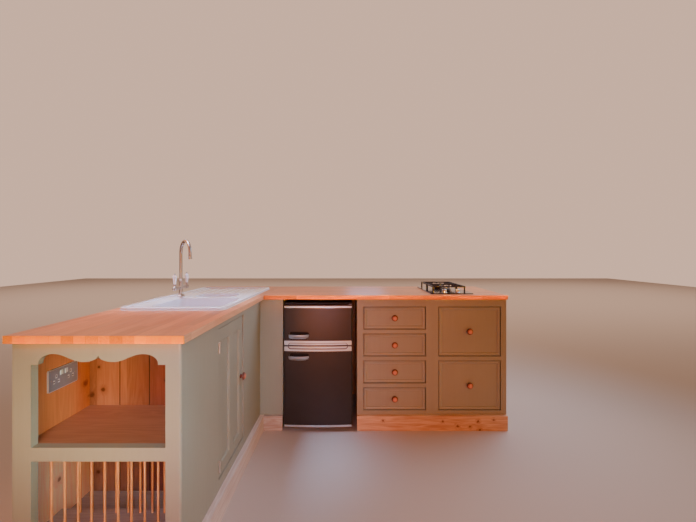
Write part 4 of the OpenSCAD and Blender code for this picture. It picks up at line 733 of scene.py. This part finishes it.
def make_materials():
    near_end_light = worktop_edge_light(SIDE_TOP_LOW.y + EDGE_SKIN, NEAR_END_PAINTED_LIGHT, SIDE_TOP_HIGH.x - EDGE_SKIN, SIDE_EDGE_PAINTED_LIGHT)
    back_edge_light = worktop_edge_light(BACK_TOP_Y + EDGE_SKIN, BACK_EDGE_PAINTED_LIGHT)
    side_boards = side_boards_tint(LOW_SIDE_BOARDS_COOL_LIGHT)
    back_boards = back_boards_tint(LOW_BACK_BOARDS_COOL_LIGHT, dimmed(SHADED_BACK_PINE_DARK, 0.12))
    lining_knots = knots_at(LINING_KNOTS)
    plinth_knots = knots_at(PLINTH_KNOTS)
    small_knots = scattered_knots(0.24, 0.09, 0.011, 0.5)
    return {
        "paint": paint("sage_paint", PAINT),
        "paint_corner": paint("sage_paint_corner_cool_light", PAINT_CORNER_COOL_LIGHT),
        "worktop_y": worktop_oak("worktop_staves_y", "Y", 0.17, 0.0, near_end_light),
        "worktop_x": worktop_oak("worktop_staves_x", "X", 0.15, 3.7, back_edge_light),
        "lining": timber("lining_pine", "Z", PINE_LIGHT, PINE_DARK, board=(BOARD_W, 0.10),
                         knots=lining_knots, tint=side_boards, rough=0.42, contrast=0.8),
        "lining_back": timber("lining_pine_back_shaded", "Z", SHADED_BACK_PINE_LIGHT, SHADED_BACK_PINE_DARK,
                              board=(BOARD_W, 0.12), knots=lining_knots, tint=back_boards, rough=0.42,
                              contrast=0.8),
        "pale_x": timber("pale_pine_x", "X", PALE_LIGHT, PALE_DARK, knots=plinth_knots, contrast=1.9),
        "pale_y": timber("pale_pine_y", "Y", PALE_LIGHT, PALE_DARK, knots=small_knots, contrast=0.9),
        "pale_left": timber("pale_pine_left_painted_light", "Y", LEFT_PLINTH_LIGHT, LEFT_PLINTH_DARK,
                            knots=small_knots, contrast=0.9),
        "pale_corner": timber("pale_pine_corner_painted_light", "X", CORNER_PLINTH_LIGHT, CORNER_PLINTH_DARK,
                              contrast=1.9),
        "pale_z": timber("pale_pine_z", "Z", PALE_LIGHT, PALE_DARK,
                         knots=scattered_knots(0.5, 0.2, 0.013, 0.3), contrast=0.8),
        "shelf_pine": timber("shelf_pine", "X", SHELF_LIGHT, SHELF_DARK,
                             knots=scattered_knots(0.3, 0.12, 0.01, 0.3), contrast=0.8, seed=1.3),
        "dowel": timber("dowel_wood", "Z", DOWEL_LIGHT, DOWEL_DARK, rough=0.4),
        "rack_board": timber("rack_board", "X", RACK_LIGHT, RACK_DARK, contrast=0.8, seed=2.1),
        "turned_y": turned("turned_wood_y", "Y"),
        "turned_x": turned("turned_wood_x", "X"),
        "ceramic": glazed("white_ceramic", (0.82, 0.83, 0.89)),
        "lever_ceramic": glazed("lever_ceramic", (0.93, 0.95, 1.0)),
        "nickel": metal("tap_nickel", (0.42, 0.36, 0.30), 0.36, depth=0.000008),
        "steel": metal("brushed_steel", (0.62, 0.60, 0.58), 0.36, "Y"),
        "knob_metal": metal("satin_aluminium", (0.46, 0.45, 0.44), 0.36, "Z"),
        "socket": socket_metal("socket_steel"),
        "zinc": metal("dull_zinc", (0.20, 0.19, 0.18), 0.45),
        "hinge": metal("hinge_steel", (0.80, 0.77, 0.73), 0.36, "Z"),
        "trim": bright_trim("bright_trim"),
        "black": cabinet_black("satin_black"),
        "door_black": door_black("satin_black_doors"),
        "gasket": coated("gasket_rubber", (0.16, 0.16, 0.165), 0.6, 500.0, 0.00005),
        "plastic": coated("white_plastic", (0.78, 0.78, 0.76), 0.35, 600.0, 0.00003),
        "sealant": coated("white_sealant", (0.76, 0.74, 0.71), 0.4, 90.0, 0.0002),
        "enamel": coated("hob_enamel", (0.012, 0.012, 0.013), 0.10, 300.0, 0.00001),
        "iron": coated("cast_iron", (0.020, 0.020, 0.021), 0.55, 700.0, 0.0002),
        "glass": clear_glass("shelf_glass"),
    }


MATERIAL_OF = {
    "worktop_y": ["worktop_left"],
    "worktop_x": ["worktop_back"],
    "paint": ["end_frame", "end_valance", "end_side_panel", "cupboard_frame", "drawer_frame",
              "cupboard_door", "drawer_1", "drawer_2", "drawer_3", "drawer_4", "deep_drawer_1",
              "deep_drawer_2"],
    "paint_corner": ["corner_filler"],
    "lining": ["niche_side_boards"],
    "lining_back": ["niche_back_boards"],
    "shelf_pine": ["niche_shelf"],
    "rack_board": ["rack_floor"],
    "pale_x": ["plinth_end", "plinth_back"],
    "pale_left": ["plinth_left"],
    "pale_corner": ["plinth_corner"],
    "pale_y": ["drawer_runners", "cupboard_floor"],
    "pale_z": ["cupboard_back", "drawer_unit_panels", "drawer_unit_back"],
    "dowel": ["rack_dowels"],
    "turned_x": ["cupboard_knob"],
    "turned_y": ["drawer_knob_1", "drawer_knob_2", "drawer_knob_3", "drawer_knob_4", "deep_drawer_knob_1",
                 "deep_drawer_knob_2"],
    "ceramic": ["sink"],
    "lever_ceramic": ["tap_lever_near", "tap_lever_far"],
    "nickel": ["tap_body", "tap_spout", "tap_hub_near", "tap_hub_far"],
    "steel": ["sink_wastes"],
    "zinc": ["fridge_hinges"],
    "knob_metal": ["hob_knob_left", "hob_knob_right"],
    "socket": ["niche_socket"],
    "hinge": ["cupboard_hinges", "cupboard_door_leaves"],
    "trim": ["freezer_door_trim", "fridge_door_trim"],
    "black": ["fridge_cabinet"],
    "door_black": ["freezer_door", "fridge_door"],
    "enamel": ["hob_plate"],
    "iron": ["hob_burners", "hob_pan_supports"],
    "glass": ["fridge_shelves"],
}
EASED_EDGE = 0.0012
EASED_ABOVE_DEG = 40


def dress_nodes(materials):
    """Every CAD node gets its material, and all but the thin trims get eased edges."""
    for key, names in MATERIAL_OF.items():
        for name in names:
            node = nodes[name]
            node.data.materials.clear()
            node.data.materials.append(materials[key])
            if key == "trim":
                continue
            ease = node.modifiers.new("eased_edges", "BEVEL")
            ease.width = EASED_EDGE
            ease.segments = 2
            ease.limit_method = "ANGLE"
            ease.angle_limit = math.radians(EASED_ABOVE_DEG)
            ease.harden_normals = False


# Pieces that Blender adds
SHARP_ABOVE_DEG = 35


def add_piece(name, bm, material, body):
    """Turns a bmesh into a piece that rides on a body; its sharper edges stay sharp."""
    bmesh.ops.recalc_face_normals(bm, faces=bm.faces)
    for face in bm.faces:
        face.smooth = True
    for edge in bm.edges:
        if len(edge.link_faces) == 2 and edge.calc_face_angle(0) > math.radians(SHARP_ABOVE_DEG):
            edge.smooth = False
    mesh = bpy.data.meshes.new(name)
    bm.to_mesh(mesh)
    bm.free()
    mesh.materials.append(material)
    piece = bpy.data.objects.new(name, mesh)
    scene.collection.objects.link(piece)
    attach(piece, body)


def rounded_loop(low, high, inset, radius, steps=8):
    """Points round a rectangle with round corners, an inset inside its low and high corners."""
    (x0, y0), (x1, y1) = low, high
    x0, y0, x1, y1 = x0 + inset, y0 + inset, x1 - inset, y1 - inset
    points = []
    for cx, cy, start in ((x1 - radius, y1 - radius, 0), (x0 + radius, y1 - radius, 90),
                          (x0 + radius, y0 + radius, 180), (x1 - radius, y0 + radius, 270)):
        for i in range(steps + 1):
            angle = math.radians(start + 90 * i / steps)
            points.append((cx + radius * math.cos(angle), cy + radius * math.sin(angle)))
    return points


def on_ring(radius, angle):
    return Vector((radius * math.cos(angle), radius * math.sin(angle), 0.0))


def join_rows(bm, row, after):
    """Faces between two closed rows of as many points."""
    for i in range(len(row)):
        j = (i + 1) % len(row)
        bm.faces.new((row[i], row[j], after[j], after[i]))


def ring_of_loops(bm, loops):
    """Joins closed loops of equal length into a closed ring, the last to the first."""
    rows = [[bm.verts.new(point) for point in loop] for loop in loops]
    for row, after in zip(rows, rows[1:] + rows[:1]):
        join_rows(bm, row, after)


def lathe(bm, outline, place, axis="Z", steps=32):
    """Turns an outline of (radius, height) round an axis through a place; it is closed at both ends."""
    turn = {"Z": Matrix.Identity(3), "-Y": Matrix.Rotation(math.radians(90), 3, "X"),
            "X": Matrix.Rotation(math.radians(90), 3, "Y")}[axis]
    rows = []
    for radius, height in outline:
        points = [on_ring(radius, 2 * math.pi * i / steps) + Vector((0, 0, height)) for i in range(steps)]
        rows.append([bm.verts.new(turn @ point + Vector(place)) for point in points])
    for row, after in zip(rows, rows[1:]):
        join_rows(bm, row, after)
    bm.faces.new(rows[0])
    bm.faces.new(rows[-1])


def box(bm, middle, size, ease=0.0, turn=0.0):
    """A box round its middle, turned about Z, with its edges eased."""
    made = bmesh.ops.create_cube(bm, size=1.0)
    turned_by = Matrix.Rotation(turn, 3, "Z")
    for vert in made["verts"]:
        corner = Vector([part * length for part, length in zip(vert.co, size)])
        vert.co = turned_by @ corner + Vector(middle)
    if ease:
        edges = list(dict.fromkeys(edge for vert in made["verts"] for edge in vert.link_edges))
        bmesh.ops.bevel(bm, geom=edges, offset=ease, segments=2, affect="EDGES", profile=0.5)


def add_sink_sealant(materials):
    bm = bmesh.new()
    loops = []
    for inset, height in SEALANT:
        ring = rounded_loop(SINK_LOW.xy, SINK_HIGH.xy, inset, SINK_CORNER_R - inset)
        loops.append([(x, y, SIDE_TOP_HIGH.z + height) for x, y in ring])
    ring_of_loops(bm, loops)
    add_piece("sink_sealant", bm, materials["sealant"], "kitchen")


def add_sink_strainers(materials):
    bm = bmesh.new()
    for place in (MAIN_WASTE, HALF_WASTE):
        lathe(bm, STRAINER, place)
        for i in range(STRAINER_FEET):
            angle = 2 * math.pi * (i + 0.5) / STRAINER_FEET
            lathe(bm, STRAINER_FOOT, Vector(place) + on_ring(STRAINER_FEET_R, angle), steps=12)
    add_piece("sink_strainers", bm, materials["knob_metal"], "kitchen")


def add_door_gasket(materials, body, door_low, door_high):
    bm = bmesh.new()
    loops = []
    for inset, depth in GASKET:
        ring = rounded_loop(door_low.xz, door_high.xz, inset, GASKET_R, 4)
        loops.append([(x, door_high.y + GASKET_SKIN + depth, z) for x, z in ring])
    ring_of_loops(bm, loops)
    add_piece(body + "_gasket", bm, materials["gasket"], body)


def add_fridge_fittings(materials):
    """The lamp's housing and lens under the divider, and the strips along the shelves' front edges."""
    bm = bmesh.new()
    box(bm, LAMP_MIDDLE, LAMP_SIZE, LAMP_EASE)
    lathe(bm, LENS, LENS_PLACE, "-Y")
    for height in STRIP_HEIGHTS:
        box(bm, (FRIDGE_MID_X, STRIP_Y, height), STRIP_SIZE, STRIP_EASE)
    add_piece("fridge_fittings", bm, materials["plastic"], "kitchen")


def add_burner_caps(materials):
    bm = bmesh.new()
    for y, radius, _ in BURNERS:
        outline = [(radius - inset, height) for inset, height in BURNER_CAP] + [BURNER_CAP_MIDDLE]
        lathe(bm, outline, (HOB_MIDDLE.x, y, HOB_TOP), steps=48)
    add_piece("burner_caps", bm, materials["enamel"], "kitchen")


def add_burner_ports(materials):
    """Flame ports round each burner, and its igniter and flame sensor."""
    bm = bmesh.new()
    for y, radius, ports in BURNERS:
        middle = Vector((HOB_MIDDLE.x, y, HOB_TOP))
        for i in range(ports):
            angle = 2 * math.pi * i / ports
            spot = middle + on_ring(radius - PORT_IN, angle) + Vector((0, 0, PORT_UP))
            box(bm, spot, PORT_SIZE, turn=angle)
        for degrees in IGNITER_ANGLES:
            spot = middle + on_ring(radius + IGNITER_OUT, math.radians(degrees))
            lathe(bm, IGNITER, spot, steps=12)
    add_piece("burner_ports", bm, materials["knob_metal"], "kitchen")


def add_socket_screws(materials):
    bm = bmesh.new()
    for side in (-SOCKET_SCREW_SIDE, SOCKET_SCREW_SIDE):
        place = (SOCKET_FACE_X + SOCKET_SCREW_LIFT, SOCKET_MIDDLE.y + side, SOCKET_MIDDLE.z)
        lathe(bm, SCREW_HEAD, place, "X", 16)
    add_piece("socket_screws", bm, materials["knob_metal"], "kitchen")


# Studio
FLOOR_X = (-12, 12)
FLOOR_Y = (-9, 14)
FLOOR_COLOUR = (0.56, 0.45, 0.37, 1)
WORLD_FRONT = (0.15, 0.11, 0.09, 1)
WORLD_BACK = (0.90, 0.58, 0.43, 1)
WORLD_TURNS_AT = (-0.1, 0.6)

# Soft lights: name, place, target, size, watts, colour and spread in degrees. Most of the watts and colours
# come from a least-squares fit to the photograph's mean colours, rounded to two or three digits.
LIGHTS = (
    ("front_wide", (0.4, -4.2, 1.6), (0.0, 0.0, 0.6), (3.4, 2.4), 13.4, (1.0, 0.15, 0.0), 60),
    ("front_low", (-0.35, -2.75, 0.35), (-0.14, 0.24, 0.55), (1.6, 0.4), 2.2, (1.0, 0.21, 0.0), 50),
    ("edge_front", (0.35, -0.9, 0.925), (0.35, 0.25, 0.918), (1.6, 0.02), 0.50, (1.0, 0.40, 0.0), 6),
    ("edge_near", (-0.72, -1.4, 0.865), (-0.72, -0.875, 0.865), (0.75, 0.03), 0.08, (1.0, 0.18, 0.0), 8),
    ("reveal_side", (0.6, -1.6, 0.75), (-1.06, -0.86, 0.55), (0.4, 0.5), 0.48, (0.34, 0.78, 1.0), 25),
    ("key_high", (-0.2, -2.9, 2.2), (-0.75, -0.84, 0.75), (0.8, 0.8), 1.1, (0.36, 0.60, 1.0), 30),
    ("centre_fill", (-0.2, -2.4, 0.9), (-0.5, 0.1, 0.5), (0.6, 0.6), 2.15, (0.28, 0.59, 1.0), 60),
    ("niche_fill", (-0.55, -1.75, 0.8), (-0.95, -0.6, 0.6), (0.5, 0.4), 1.4, (1.0, 0.66, 0.06), 60),
    ("window_near", (-1.3, -0.15, 1.65), (-0.6, -0.25, 0.9), (0.7, 0.9), 4.2, (1.0, 0.29, 0.05), 120),
    ("sky_sink", (-1.15, -0.1, 1.9), (-0.77, -0.05, 0.8), (0.5, 0.8), 3.7, (0.41, 0.59, 1.0), 30),
    ("right_wall", (2.4, -0.8, 1.2), (-0.4, -0.2, 0.5), (2.2, 1.8), 5.7, (1.0, 0.54, 0.03), 90),
    ("right_back", (1.7, 0.7, 2.1), (-0.5, -0.2, 0.4), (1.0, 1.0), 40.0, (0.44, 0.66, 1.0), 180),
    ("back_window", (0.23, 1.4, 1.55), (0.15, 0.3, 0.9), (0.36, 0.9), 2.2, (0.43, 0.59, 1.0), 160),
    ("far_floor", (0.0, 7.2, 3.4), (0.0, 7.2, 0.0), (22.0, 9.0), 420, (1.0, 0.80, 0.68), 130),
)


def make_floor():
    (x0, x1), (y0, y1) = FLOOR_X, FLOOR_Y
    mesh = bpy.data.meshes.new("studio_floor")
    mesh.from_pydata([(x0, y0, 0), (x1, y0, 0), (x1, y1, 0), (x0, y1, 0)], [], [(0, 1, 2, 3)])
    floor = bpy.data.objects.new("studio_floor", mesh)
    scene.collection.objects.link(floor)
    s = Shader("floor_pale")
    s.set(Base_Color=FLOOR_COLOUR, Roughness=0.75)
    mesh.materials.append(s.material)


def area_light(name, place, target, size, watts, colour, spread):
    data = bpy.data.lights.new(name, "AREA")
    data.shape = "RECTANGLE"
    data.size, data.size_y = size
    data.energy = watts
    data.color = colour
    data.spread = math.radians(spread)
    light = bpy.data.objects.new(name, data)
    light.location = place
    light.rotation_euler = (Vector(target) - Vector(place)).to_track_quat("-Z", "Y").to_euler()
    light.visible_camera = False
    scene.collection.objects.link(light)


def make_world():
    """A dim surrounding in front, which turns into a pale backdrop behind the kitchen."""
    world = bpy.data.worlds.new("studio_world")
    scene.world = world
    world.use_nodes = True
    tree = world.node_tree
    direction = tree.nodes.new("ShaderNodeTexCoord").outputs["Generated"]
    parts = tree.nodes.new("ShaderNodeSeparateXYZ")
    tree.links.new(direction, parts.inputs[0])
    towards = tree.nodes.new("ShaderNodeMapRange")
    towards.interpolation_type = "SMOOTHSTEP"
    towards.inputs["From Min"].default_value = WORLD_TURNS_AT[0]
    towards.inputs["From Max"].default_value = WORLD_TURNS_AT[1]
    tree.links.new(parts.outputs[1], towards.inputs["Value"])
    blend = tree.nodes.new("ShaderNodeMix")
    blend.data_type = "RGBA"
    blend.inputs[6].default_value = WORLD_FRONT
    blend.inputs[7].default_value = WORLD_BACK
    tree.links.new(towards.outputs[0], blend.inputs[0])
    tree.links.new(blend.outputs[2], tree.nodes["Background"].inputs["Color"])


make_camera()
materials = make_materials()
dress_nodes(materials)
add_sink_sealant(materials)
add_sink_strainers(materials)
add_door_gasket(materials, "freezer", FREEZER_DOOR_LOW, FREEZER_DOOR_HIGH)
add_door_gasket(materials, "fridge", FRIDGE_DOOR_LOW, FRIDGE_DOOR_HIGH)
add_fridge_fittings(materials)
add_burner_caps(materials)
add_burner_ports(materials)
add_socket_screws(materials)
make_floor()
make_world()
for row in LIGHTS:
    area_light(*row)
